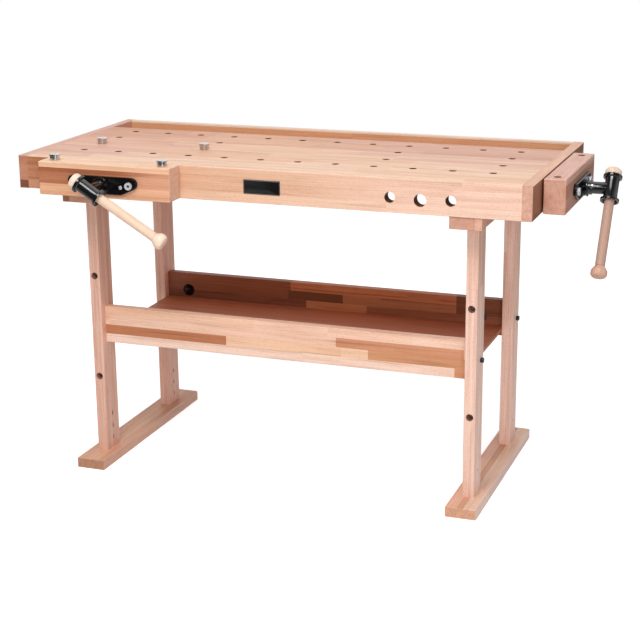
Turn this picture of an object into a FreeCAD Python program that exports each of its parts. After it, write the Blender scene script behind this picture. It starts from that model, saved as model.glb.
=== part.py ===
"""Joiner's workbench with a front vise, a tail vise, a tool well and a tray shelf.

Bench coordinates: X from the left end of the top, Y from the front face of the top towards the back,
Z up from the floor.  The document's origin lies on the floor under the middle of the whole bench, vises
and handles included, so every sub-part's Placement takes the plan middle off its bench coordinates.
"""
import FreeCAD, Part
import Sketcher
import math
import os
import re

doc = FreeCAD.newDocument("Workbench")
V = FreeCAD.Vector

# --------------------------------------------------------------------------- sizes
SIZES = {
    # bench top
    "top_length": 1350, "top_depth": 620, "bench_height": 850, "apron_height": 85,
    "apron_thickness": 30, "cap_thickness": 26, "slab_thickness": 30, "slab_depth": 480,
    "mid_rail_thickness": 25, "back_rail_thickness": 25, "well_floor_thickness": 12,
    "board_round": 2,
    # dog holes, and the round steel dogs that stand in them
    "dog_hole_diameter": 19.2, "dog_row_pitch": 100, "dog_first": 125, "dog_columns": 12, "dog_rows": 4,
    "dog_clearance": 0.05, "dog_rim_diameter": 28, "dog_rim_height": 4, "dog_drum_diameter": 25,
    "dog_standing": 15, "dog_shank_length": 67, "dog_point": 2, "dog_rim_bevel": 0.8,
    # spare vise holes in the apron
    "spare_vise_inset": 270,
    # trestles
    "trestle_inset": 120, "foot_setback": 5, "foot_width": 80, "foot_thickness": 27,
    "bearer_thickness": 31, "upright_width": 30, "upright_depth": 70, "upright_inset": 75,
    "tenon_width": 16, "tenon_depth": 50, "tenon_length": 20, "peg_hole_diameter": 19,
    "peg_hole_depth": 30, "peg_low": 240, "peg_high": 520, "pilot_diameter": 7, "pilot_depth": 12,
    "pilot_height": 90, "pilot_spacing": 35, "bearer_screw_length": 50, "bearer_screw_spread": 30,
    "bearer_screw_radius": 3,
    # tray shelf and the bolts that hold it between the trestles
    "shelf_board_height": 100, "shelf_board_thickness": 25, "shelf_bottom": 332,
    "shelf_floor_height": 360, "shelf_floor_thickness": 9, "shelf_groove_depth": 8, "pocket_inset": 65,
    "pocket_diameter": 35, "pocket_depth": 21, "bolt_diameter": 8, "bolt_length": 100,
    "bolt_head_diameter": 13, "bolt_head_height": 8, "bolt_hexagon": 7, "washer_diameter": 17,
    "washer_thickness": 1.6, "moon_thickness": 6.5, "moon_length": 14, "nut_corners": 15,
    "nut_height": 6.5,
    # vise jaws
    "jaw_length": 365, "jaw_round": 3, "front_gap": 0.5, "front_jaw_thickness": 60, "tail_gap": 4,
    "tail_jaw_thickness": 54, "jaw_dog_spread": 150, "jaw_screw_hole": 31, "jaw_rod_hole": 21,
    "bench_screw_hole": 31, "bench_rod_hole": 26.5, "screw_below_top": 51, "rod_spread": 75,
    "rod_rise": 3, "rod_diameter": 20, "screw_diameter": 25, "vise_reach": 240,
    # vise face plate
    "plate_thickness": 8, "plate_half_length": 95.5, "plate_end_radius": 15.5, "plate_end_turn": 24,
    "plate_top": 23, "plate_bottom": 22, "plate_shoulder": 52, "plate_round": 2,
    "boss_base_radius": 22, "boss_top_radius": 20, "boss_height": 8, "web_thickness": 7,
    "web_reach": 43, "rod_bolt_diameter": 10, "rod_bolt_length": 38, "rod_bolt_head_diameter": 19,
    "rod_bolt_head_height": 5.5, "rod_bolt_hexagon": 9, "plate_screw_spread": 52,
    "plate_screw_drop": 2, "plate_screw_length": 38, "plate_screw_radius": 2.5,
    # vise screw, its rings and the sleeve that holds the handle
    "ring_radius": 17, "ring_thickness": 3, "ring_groove_depth": 2, "ring_slot": 6,
    "ring_recess_diameter": 38, "ring_recess_depth": 5, "collar_radius": 22.5,
    "collar_thickness": 3, "stub_radius": 8, "stub_length": 22, "sleeve_reach": 75,
    "sleeve_length": 68, "sleeve_radius": 17, "flange_radius": 23, "flange_thickness": 6,
    "flange_root": 2, "mouth_depth": 10, "mouth_radius": 19.3, "neck_radius": 15,
    "neck_base_radius": 17.5, "neck_base_length": 9, "sleeve_pin_radius": 2.5,
    # handles
    "handle_diameter": 24, "handle_length": 227, "handle_tenon_radius": 7.5,
    "handle_tenon_length": 18, "knob_diameter": 40, "knob_length": 29, "knob_neck": 12,
    "knob_end_round": 9, "front_lean": -59, "tail_lean": 35,
    # nut and guide tubes behind each vise
    "bracket_length": 204, "bracket_height": 40, "bracket_thickness": 8, "nut_radius": 20,
    "nut_length": 45, "guide_radius": 14, "guide_length": 60, "bracket_screw_spread": 94,
    "bracket_screw_rise": 14, "bracket_screw_length": 30, "bracket_screw_radius": 2.5,
    # fits
    "running_fit": 0.05, "handle_fit": 0.4, "face_gap": 0.3, "wood_fit": 0.2, "bolt_fit": 0.3,
}

sheet = doc.addObject("Spreadsheet::Sheet", "Sizes")
for row, (alias, size) in enumerate(SIZES.items(), start=1):
    sheet.set(f"A{row}", alias)
    sheet.set(f"B{row}", str(size))
    sheet.setAlias(f"B{row}", alias)
doc.recompute()

# places that several sub-parts share, as formulas of the sizes
BAND_BOTTOM = "(bench_height - apron_height)"
SLAB_BOTTOM = "(bench_height - slab_thickness)"
SPAN_LENGTH = "(top_length - 2 * cap_thickness)"
VISE_HEIGHT = "(bench_height - screw_below_top)"
DOG_COLUMN_PITCH = "((top_length - 2 * dog_first) / (dog_columns - 1))"
VISE_MIDDLES = {
    "front": f"(dog_first + 1.5 * {DOG_COLUMN_PITCH})",
    "spare": "(top_length - spare_vise_inset)",
    "tail": "(dog_first + 1.5 * dog_row_pitch)",
}
FOOT_LENGTH = "(top_depth - 2 * foot_setback)"
TRESTLE_MIDDLES = {
    "left": "(trestle_inset + foot_width / 2)",
    "right": "(top_length - trestle_inset - foot_width / 2)",
}
UPRIGHT_LENGTH = "(bench_height - apron_height - bearer_thickness - foot_thickness)"
UPRIGHT_ROWS = {
    "front": "(foot_setback + upright_inset)",
    "rear": "(top_depth - foot_setback - upright_inset - upright_depth)",
}
SHELF_START = f"({TRESTLE_MIDDLES['left']} + upright_width / 2)"
SHELF_LENGTH = f"({TRESTLE_MIDDLES['right']} - {TRESTLE_MIDDLES['left']} - upright_width)"
BEARER_SCREW_ROWS = (
    "(apron_thickness / 2)",
    "(slab_depth - mid_rail_thickness / 2)",
    "(top_depth - back_rail_thickness / 2)",
)
FRONT_REACH = "(front_gap + front_jaw_thickness + sleeve_reach)"
TAIL_REACH = "(tail_gap + tail_jaw_thickness + sleeve_reach)"
PLAN_MIDDLE = (
    f"((top_length + {TAIL_REACH} + flange_radius) / 2)",
    f"((top_depth - {FRONT_REACH} - flange_radius) / 2)",
    "0",
)
OPPOSITE = {"x": "-x", "-x": "x", "y": "-y", "-y": "y"}
FACING = {
    "z": FreeCAD.Rotation(),
    "-z": FreeCAD.Rotation(V(1, 0, 0), 180),
    "x": FreeCAD.Rotation(V(0, 1, 0), 90),
    "-x": FreeCAD.Rotation(V(0, 1, 0), -90),
    "y": FreeCAD.Rotation(V(1, 0, 0), -90),
    "-y": FreeCAD.Rotation(V(1, 0, 0), 90),
}
nodes = []


# --------------------------------------------------------------------------- helpers
def linked(formula):
    """The formula with every size name pointing at its cell in the sheet."""
    return re.sub(r"[a-z][a-z_]+",
                  lambda word: "Sizes." + word[0] if word[0] in SIZES else word[0], str(formula))


def value(formula):
    return float(sheet.evalExpression(linked(formula)))


def bind(thing, prop, formula):
    thing.setExpression(prop, linked(formula))


def place(thing, at, axis="z"):
    thing.Placement = FreeCAD.Placement(V(0, 0, 0), FACING[axis])
    for direction, formula in zip("xyz", at):
        bind(thing, "Placement.Base." + direction, formula)
    return thing


def shifted(at, offset, axis):
    """The place reached from another by going the offset along an axis such as x or -y."""
    spot = list(at)
    letter = "xyz".index(axis[-1])
    sign = "-" if axis.startswith("-") else "+"
    spot[letter] = f"({spot[letter]} {sign} ({offset}))"
    return spot


def box(name, size, at=(0, 0, 0)):
    block = doc.addObject("Part::Box", name)
    for prop, formula in zip(("Length", "Width", "Height"), size):
        bind(block, prop, formula)
    return place(block, at)


def cylinder(name, radius, length, at=(0, 0, 0), axis="z"):
    bar = doc.addObject("Part::Cylinder", name)
    bind(bar, "Radius", radius)
    bind(bar, "Height", length)
    return place(bar, at, axis)


def cone(name, near_radius, far_radius, length, at=(0, 0, 0), axis="z"):
    taper = doc.addObject("Part::Cone", name)
    bind(taper, "Radius1", near_radius)
    bind(taper, "Radius2", far_radius)
    bind(taper, "Height", length)
    return place(taper, at, axis)


def hexagon(name, corner_radius, length, at=(0, 0, 0), axis="z"):
    prism = doc.addObject("Part::Prism", name)
    prism.Polygon = 6
    bind(prism, "Circumradius", corner_radius)
    bind(prism, "Height", length)
    return place(prism, at, axis)


def fuse(name, pieces):
    joined = doc.addObject("Part::MultiFuse", name)
    joined.Shapes = pieces
    joined.Refine = True
    return joined


def cut(name, base, tools):
    result = doc.addObject("Part::Cut", name)
    result.Base = base
    result.Tool = tools[0] if len(tools) == 1 else fuse(name + "_tools", tools)
    return result


def group(name, pieces):
    together = doc.addObject("Part::Compound", name)
    together.Links = pieces
    return together


def rounded(name, solid, radius, chosen):
    """Rounds those edges whose bounds pass the test, which gets the edge's and the solid's bounds."""
    doc.recompute()
    bounds = solid.Shape.BoundBox
    picked = [number for number, edge in enumerate(solid.Shape.Edges, start=1)
              if chosen(edge.BoundBox, bounds)]
    fillet = doc.addObject("Part::Fillet", name)
    fillet.Base = solid
    fillet.Edges = [(number, value(radius), value(radius)) for number in picked]
    return fillet


def all_edges(edge, solid):
    return True


def above_floor(edge, solid):
    return edge.ZMax > solid.ZMin + 0.01


def upright_edges(edge, solid):
    return edge.ZLength > 0.99 * solid.ZLength


def long_x_edges(edge, solid):
    return edge.XLength > 0.99 * solid.XLength


def front_x_edges(edge, solid):
    return long_x_edges(edge, solid) and edge.YMax < solid.YMin + 0.01


def rear_x_edges(edge, solid):
    return long_x_edges(edge, solid) and edge.YMin > solid.YMax - 0.01


def node(label, solid, at=(0, 0, 0), spin=0, lean=0):
    """Registers a finished sub-part: lean turns it about Y, then spin about Z, then it is placed."""
    solid.Label = label
    turn = FreeCAD.Rotation(V(0, 0, 1), spin).multiply(FreeCAD.Rotation(V(0, 1, 0), value(lean)))
    solid.Placement = FreeCAD.Placement(V(0, 0, 0), turn)
    for direction, formula, middle in zip("xyz", at, PLAN_MIDDLE):
        bind(solid, "Placement.Base." + direction, f"{formula} - {middle}")
    nodes.append(solid)


def sketch_on(body, role, name):
    sketch = body.newObject("Sketcher::SketchObject", name)
    plane = [datum for datum in body.Origin.OriginFeatures if datum.Role == role][0]
    sketch.AttachmentSupport = (plane, [""])
    sketch.MapMode = "FlatFace"
    return sketch


def closed_outline(sketch, corners):
    """Draws a closed outline through corners given as formulas (across, up).

    A corner (across, up, radius, side) is reached by an arc instead of a straight line: side is 1
    where the arc's centre lies to the left of the way there, and -1 where it lies to the right.
    """
    points = [V(value(corner[0]), value(corner[1]), 0) for corner in corners]
    starts = []
    ends = []
    for index, corner in enumerate(corners):
        begin = points[index - 1]
        finish = points[index]
        if len(corner) == 2:
            sketch.addGeometry(Part.LineSegment(begin, finish), False)
            starts.append(1)
            ends.append(2)
            continue
        radius = value(corner[2])
        chord = finish - begin
        left = V(-chord.y, chord.x, 0).normalize() * corner[3]
        rise = max(radius ** 2 - (chord.Length / 2) ** 2, 0) ** 0.5
        centre = (begin + finish) * 0.5 + left * rise
        anticlockwise = corner[3] > 0
        first = (begin if anticlockwise else finish) - centre
        last = (finish if anticlockwise else begin) - centre
        circle = Part.Circle(centre, V(0, 0, 1), radius)
        sketch.addGeometry(Part.ArcOfCircle(circle, math.atan2(first.y, first.x),
                                            math.atan2(last.y, last.x)), False)
        starts.append(1 if anticlockwise else 2)
        ends.append(2 if anticlockwise else 1)
    for index in range(len(corners)):
        following = (index + 1) % len(corners)
        sketch.addConstraint(Sketcher.Constraint(
            "Coincident", index, ends[index], following, starts[following]))
    for index, corner in enumerate(corners):
        for axis, formula in zip("XY", corner):
            number = sketch.addConstraint(Sketcher.Constraint(
                "Distance" + axis, -1, 1, index, ends[index], value(formula)))
            sketch.renameConstraint(number, f"corner{index}{axis}")
            bind(sketch, f"Constraints.corner{index}{axis}", formula)
        if len(corner) == 4:
            number = sketch.addConstraint(Sketcher.Constraint("Radius", index, value(corner[2])))
            sketch.renameConstraint(number, f"round{index}")
            bind(sketch, f"Constraints.round{index}", corner[2])


def turned(name, corners, role="XZ_Plane"):
    """A body turned about its sketch's upright axis from the outline (radius, height)."""
    body = doc.addObject("PartDesign::Body", name)
    sketch = sketch_on(body, role, name + "_profile")
    closed_outline(sketch, corners)
    turning = body.newObject("PartDesign::Revolution", name + "_turning")
    turning.Profile = sketch
    turning.ReferenceAxis = (sketch, ["V_Axis"])
    turning.Angle = 360
    return body


def padded(name, role, corners, depth, both_ways=False):
    """A body with the outline on one of its planes, padded along the plane's normal or both ways."""
    body = doc.addObject("PartDesign::Body", name)
    sketch = sketch_on(body, role, name + "_outline")
    closed_outline(sketch, corners)
    pad = body.newObject("PartDesign::Pad", name + "_pad")
    pad.Profile = sketch
    if both_ways:
        pad.SideType = "Symmetric"
    bind(pad, "Length", depth)
    return body


def wood_screw(name, radius, length, at, axis):
    """Countersunk screw whose flat head lies at the given place, driven along the axis."""
    head = cone(name + "_head", f"2 * {radius}", radius, radius, at, axis)
    shank = cylinder(name + "_shank", radius, f"{length} - {radius}",
                     shifted(at, radius, axis), axis)
    return fuse(name, [head, shank])


def countersunk_hole(name, radius, depth, at, axis):
    sink = cone(name + "_sink", f"2 * {radius}", radius, radius, at, axis)
    hole = cylinder(name + "_bore", f"{radius} + running_fit", depth, at, axis)
    return fuse(name, [sink, hole])


def socket_bolt(name, at, axis, shank, head, hexagon_width):
    """Socket-head bolt seated at the given place: shank and head are (diameter, length)."""
    top = shifted(at, head[1], OPPOSITE[axis])
    blank = fuse(name + "_blank", [
        cylinder(name + "_shank", f"{shank[0]} / 2", shank[1], at, axis),
        cylinder(name + "_head", f"{head[0]} / 2", head[1], top, axis),
    ])
    socket = hexagon(name + "_socket", f"{hexagon_width} / 2", f"{head[1]} / 2", top, axis)
    return cut(name, blank, [socket])


# --------------------------------------------------------------------------- bench top
def vise_bores(name, middle, axis, depth):
    """Bores through a board, lying at Y or X zero, for one vise's screw and two guide rods."""
    bores = []
    for label, across, rise, diameter in (("left", "-rod_spread", "rod_rise", "bench_rod_hole"),
                                          ("right", "rod_spread", "rod_rise", "bench_rod_hole"),
                                          ("screw", "0", "0", "bench_screw_hole")):
        along_board = f"{middle} + {across}"
        height = f"{VISE_HEIGHT} + {rise}"
        at = (along_board, 0, height) if axis == "y" else (0, along_board, height)
        bores.append(cylinder(f"{name}_{label}", f"{diameter} / 2", depth, at, axis))
    return bores


def bracket_holes(name, middle, board_face, axis):
    """Blind holes from a board's inner face for the four screws of a vise's nut bracket."""
    holes = []
    for index, (across, up) in enumerate(((-1, -1), (-1, 1), (1, -1), (1, 1))):
        along_board = f"{middle} + {across} * bracket_screw_spread"
        height = f"{VISE_HEIGHT} + {up} * bracket_screw_rise"
        at = (along_board, board_face, height) if axis == "-y" else (board_face, along_board, height)
        holes.append(cylinder(f"{name}_{index}", "bracket_screw_radius + running_fit",
                              "bracket_screw_length - bracket_thickness + wood_fit", at, axis))
    return holes


def bearer_screw_places(row):
    return [(f"{middle} + {side} * bearer_screw_spread", row)
            for middle in TRESTLE_MIDDLES.values() for side in (-1, 1)]


def screw_holes_from_below(name, row):
    """Blind holes in the underside of the top for one row of the bearers' screws."""
    return [cylinder(f"{name}_{index}", "bearer_screw_radius + running_fit",
                     "bearer_screw_length - bearer_thickness + wood_fit", (x, y, BAND_BOTTOM))
            for index, (x, y) in enumerate(bearer_screw_places(row))]


def build_slab():
    blank = box("slab_blank", (SPAN_LENGTH, "slab_depth - apron_thickness", "slab_thickness"),
                ("cap_thickness", "apron_thickness", SLAB_BOTTOM))
    columns = int(value("dog_columns"))
    rows = int(value("dog_rows"))
    inner_columns = (0, 3, columns - 4, columns - 1)
    holes = []
    for row in range(rows):
        for column in range(columns):
            if row in (0, rows - 1) or column in inner_columns:
                at = (f"dog_first + {column} * {DOG_COLUMN_PITCH}",
                      f"dog_first + {row} * dog_row_pitch", SLAB_BOTTOM)
                holes.append(cylinder(f"dog_hole_{row}_{column}", "dog_hole_diameter / 2",
                                      "slab_thickness", at))
    node("top_slab", cut("slab", blank, holes))


def build_apron():
    blank = box("apron_blank", (SPAN_LENGTH, "apron_thickness", "apron_height"),
                ("cap_thickness", 0, BAND_BOTTOM))
    eased = rounded("apron_eased", blank, "board_round", front_x_edges)
    bores = (vise_bores("apron_vise_bore", VISE_MIDDLES["front"], "y", "apron_thickness")
             + vise_bores("apron_spare_bore", VISE_MIDDLES["spare"], "y", "apron_thickness")
             + bracket_holes("apron_bracket_hole", VISE_MIDDLES["front"], "apron_thickness", "-y")
             + screw_holes_from_below("apron_screw_hole", BEARER_SCREW_ROWS[0]))
    node("front_apron", cut("apron", eased, bores))


def build_caps():
    for side, start in (("left", "0"), ("right", "(top_length - cap_thickness)")):
        blank = box(f"cap_{side}_blank", ("cap_thickness", "top_depth", "apron_height"),
                    (0, 0, BAND_BOTTOM))
        outer = "XMin" if side == "left" else "XMax"
        eased = rounded(f"cap_{side}_eased", blank, "board_round",
                        lambda edge, solid, outer=outer: all(
                            abs(getattr(edge, bound) - getattr(solid, outer)) < 0.01
                            for bound in ("XMin", "XMax")))
        if side == "right":
            bores = (vise_bores("cap_vise_bore", VISE_MIDDLES["tail"], "x", "cap_thickness")
                     + bracket_holes("cap_bracket_hole", VISE_MIDDLES["tail"], "0", "x"))
            eased = cut("cap_right", eased, bores)
        node(f"end_cap_{side}", eased, (start, 0, 0))


def build_rails():
    mid_blank = box("mid_rail_blank", (SPAN_LENGTH, "mid_rail_thickness", "apron_height - slab_thickness"),
                    ("cap_thickness", "slab_depth - mid_rail_thickness", BAND_BOTTOM))
    node("mid_rail", cut("mid_rail_drilled", mid_blank,
                         screw_holes_from_below("mid_rail_hole", BEARER_SCREW_ROWS[1])))
    back_blank = box("back_rail_blank", (SPAN_LENGTH, "back_rail_thickness", "apron_height"),
                     ("cap_thickness", "top_depth - back_rail_thickness", BAND_BOTTOM))
    eased = rounded("back_rail_eased", back_blank, "board_round", rear_x_edges)
    node("back_rail", cut("back_rail_drilled", eased,
                          screw_holes_from_below("back_rail_hole", BEARER_SCREW_ROWS[2])))
    node("well_floor", box("well_floor_board", (
        SPAN_LENGTH, "top_depth - back_rail_thickness - slab_depth", "well_floor_thickness")),
        ("cap_thickness", "slab_depth", BAND_BOTTOM))


# --------------------------------------------------------------------------- trestles
def mortises(name, bottom):
    """Pockets that take the tenons of a trestle's two uprights, in the foot's or bearer's frame."""
    pockets = []
    for row, start in UPRIGHT_ROWS.items():
        at = ("(foot_width - tenon_width) / 2 - wood_fit",
              f"{start} - foot_setback + (upright_depth - tenon_depth) / 2 - wood_fit", bottom)
        pockets.append(box(f"{name}_{row}", ("tenon_width + 2 * wood_fit",
                                             "tenon_depth + 2 * wood_fit",
                                             "tenon_length + wood_fit"), at))
    return pockets


def build_upright(side, row):
    """One upright, with its tenons, in a frame at the lower front left corner of its body."""
    name = f"upright_{row}_{side}"
    body = box(name + "_body", ("upright_width", "upright_depth", UPRIGHT_LENGTH))
    eased = rounded(name + "_eased", body, "board_round", upright_edges)
    tenon_corner = ("(upright_width - tenon_width) / 2", "(upright_depth - tenon_depth) / 2")
    tenons = [box(f"{name}_{end}_tenon", ("tenon_width", "tenon_depth", "tenon_length"),
                  (*tenon_corner, start))
              for end, start in (("lower", "-tenon_length"), ("upper", UPRIGHT_LENGTH))]
    inner_face, inward = ("upright_width", "-x") if side == "left" else ("0", "x")
    holes = [cylinder(name + "_bolt_hole", "bolt_diameter / 2 + bolt_fit", "upright_width",
                      (0, "upright_depth / 2", "shelf_bottom + shelf_board_height / 2 - foot_thickness"),
                      "x"),
             cylinder(name + "_pilot_through", "pilot_diameter / 2", "upright_width",
                      (0, "upright_depth / 2", "pilot_height - foot_thickness"), "x")]
    for label, up in (("low", -1), ("high", 1)):
        holes.append(cylinder(f"{name}_pilot_{label}", "pilot_diameter / 2", "pilot_depth",
                              (inner_face, "upright_depth / 2",
                               f"pilot_height + {up} * pilot_spacing - foot_thickness"), inward))
    if row == "front":
        for label in ("peg_low", "peg_high"):
            holes.append(cylinder(f"{name}_{label}_hole", "peg_hole_diameter / 2", "peg_hole_depth",
                                  ("upright_width / 2", 0, f"{label} - foot_thickness"), "y"))
    at = (f"{TRESTLE_MIDDLES[side]} - upright_width / 2", UPRIGHT_ROWS[row], "foot_thickness")
    node(name, cut(name, fuse(name + "_blank", [eased] + tenons), holes), at)


def build_trestle(side):
    corner = f"{TRESTLE_MIDDLES[side]} - foot_width / 2"
    foot = rounded(f"foot_{side}_eased", box(f"foot_{side}_blank", (
        "foot_width", FOOT_LENGTH, "foot_thickness")), "board_round", above_floor)
    node(f"foot_{side}", cut(f"foot_{side}", foot, mortises(
        f"foot_{side}_mortise", "foot_thickness - tenon_length - wood_fit")),
        (corner, "foot_setback", 0))
    bearer = rounded(f"bearer_{side}_eased", box(f"bearer_{side}_blank", (
        "foot_width", FOOT_LENGTH, "bearer_thickness")), "board_round",
        lambda edge, solid: edge.ZMin < solid.ZMax - 0.01)
    holes = mortises(f"bearer_{side}_mortise", 0)
    for index, row in enumerate(BEARER_SCREW_ROWS):
        for label, across in (("outer", -1), ("inner", 1)):
            holes.append(countersunk_hole(
                f"bearer_{side}_hole_{index}_{label}", "bearer_screw_radius", "bearer_thickness",
                (f"foot_width / 2 + {across} * bearer_screw_spread", f"{row} - foot_setback", 0), "z"))
    node(f"bearer_{side}", cut(f"bearer_{side}", bearer, holes),
         (corner, "foot_setback", f"{BAND_BOTTOM} - bearer_thickness"))


def build_bearer_screws():
    screws = []
    for row_index, row in enumerate(BEARER_SCREW_ROWS):
        for index, (x, y) in enumerate(bearer_screw_places(row)):
            screws.append(wood_screw(f"bearer_screw_{row_index}_{index}", "bearer_screw_radius",
                                     "bearer_screw_length",
                                     (x, y, f"{BAND_BOTTOM} - bearer_thickness"), "z"))
    node("bearer_screws", group("bearer_screw_set", screws))


# --------------------------------------------------------------------------- tray shelf
def build_shelf_board(label, row, inner_face, inward):
    """Long board of the tray, grooved for the floor and pocketed on its inner face for the nuts."""
    board = rounded(f"{label}_eased", box(f"{label}_blank", (
        SHELF_LENGTH, "shelf_board_thickness", "shelf_board_height")), "board_round", long_x_edges)
    groove_start = f"{inner_face} - shelf_groove_depth" if inward == "-y" else inner_face
    groove = box(f"{label}_groove", (SHELF_LENGTH, "shelf_groove_depth",
                                     "shelf_floor_thickness + wood_fit"),
                 (0, groove_start, "shelf_floor_height - shelf_floor_thickness - shelf_bottom"))
    tools = [groove]
    for end, pocket, bore_start in (("left", "pocket_inset", "0"),
                                    ("right", f"{SHELF_LENGTH} - pocket_inset",
                                     f"{SHELF_LENGTH} - pocket_inset")):
        tools.append(cylinder(f"{label}_{end}_pocket", "pocket_diameter / 2", "pocket_depth",
                              (pocket, inner_face, "shelf_board_height / 2"), inward))
        tools.append(cylinder(f"{label}_{end}_bore", "bolt_diameter / 2 + bolt_fit", "pocket_inset",
                              (bore_start, "shelf_board_thickness / 2", "shelf_board_height / 2"), "x"))
    node(label, cut(label, board, tools),
         (SHELF_START, f"{UPRIGHT_ROWS[row]} + (upright_depth - shelf_board_thickness) / 2",
          "shelf_bottom"))


def build_shelf():
    build_shelf_board("shelf_front_board", "front", "shelf_board_thickness", "-y")
    build_shelf_board("shelf_back_board", "rear", "0", "y")
    floor_start = (f"({UPRIGHT_ROWS['front']} + (upright_depth + shelf_board_thickness) / 2"
                   " - shelf_groove_depth + wood_fit)")
    floor_end = (f"({UPRIGHT_ROWS['rear']} + (upright_depth - shelf_board_thickness) / 2"
                 " + shelf_groove_depth - wood_fit)")
    node("shelf_floor", box("shelf_floor_sheet", (
        SHELF_LENGTH, f"{floor_end} - {floor_start}", "shelf_floor_thickness")),
        (SHELF_START, floor_start, "shelf_floor_height - shelf_floor_thickness"))


def build_shelf_fastenings():
    """Bolts through the uprights into half-moon washers and nuts in the boards' pockets."""
    bolts = []
    washers = []
    moons = []
    nuts = []
    for side, axis, sign in (("left", "x", "-"), ("right", "-x", "+")):
        outer_face = f"({TRESTLE_MIDDLES[side]} {sign} upright_width / 2)"
        for row, start in UPRIGHT_ROWS.items():
            name = f"{row}_{side}"
            face = (outer_face, f"({start} + upright_depth / 2)", "(shelf_bottom + shelf_board_height / 2)")
            seat = shifted(face, "washer_thickness", OPPOSITE[axis])
            bolts.append(socket_bolt(f"shelf_bolt_{name}", seat, axis, ("bolt_diameter", "bolt_length"),
                                     ("bolt_head_diameter", "bolt_head_height"), "bolt_hexagon"))
            washers.append(cut(f"washer_{name}", cylinder(
                f"washer_{name}_disc", "washer_diameter / 2", "washer_thickness", seat, axis), [
                cylinder(f"washer_{name}_hole", "bolt_diameter / 2 + bolt_fit", "washer_thickness",
                         seat, axis)]))
            pocket = shifted(face, "upright_width + pocket_inset", axis)
            nut_seat = shifted(pocket, "pocket_diameter / 2 - face_gap - moon_thickness", OPPOSITE[axis])
            disc = cylinder(f"moon_{name}_disc", "pocket_diameter / 2 - face_gap", "moon_length",
                            shifted(pocket, "moon_length / 2", "-y"), "y")
            beyond = cylinder(f"moon_{name}_beyond", "pocket_diameter", "pocket_diameter",
                              nut_seat, axis)
            bolt_way = cylinder(f"moon_{name}_hole", "bolt_diameter / 2 + bolt_fit", "pocket_diameter",
                                shifted(pocket, "pocket_diameter / 2", OPPOSITE[axis]), axis)
            moons.append(cut(f"moon_{name}", disc, [beyond, bolt_way]))
            nuts.append(cut(f"nut_{name}", hexagon(
                f"nut_{name}_blank", "nut_corners / 2", "nut_height", nut_seat, axis), [
                cylinder(f"nut_{name}_hole", "bolt_diameter / 2 + running_fit", "nut_height",
                         nut_seat, axis)]))
    node("shelf_bolts", group("shelf_bolt_set", bolts))
    node("shelf_bolt_washers", group("washer_set", washers))
    node("shelf_half_moon_washers", group("moon_set", moons))
    node("shelf_nuts", group("nut_set", nuts))


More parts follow.
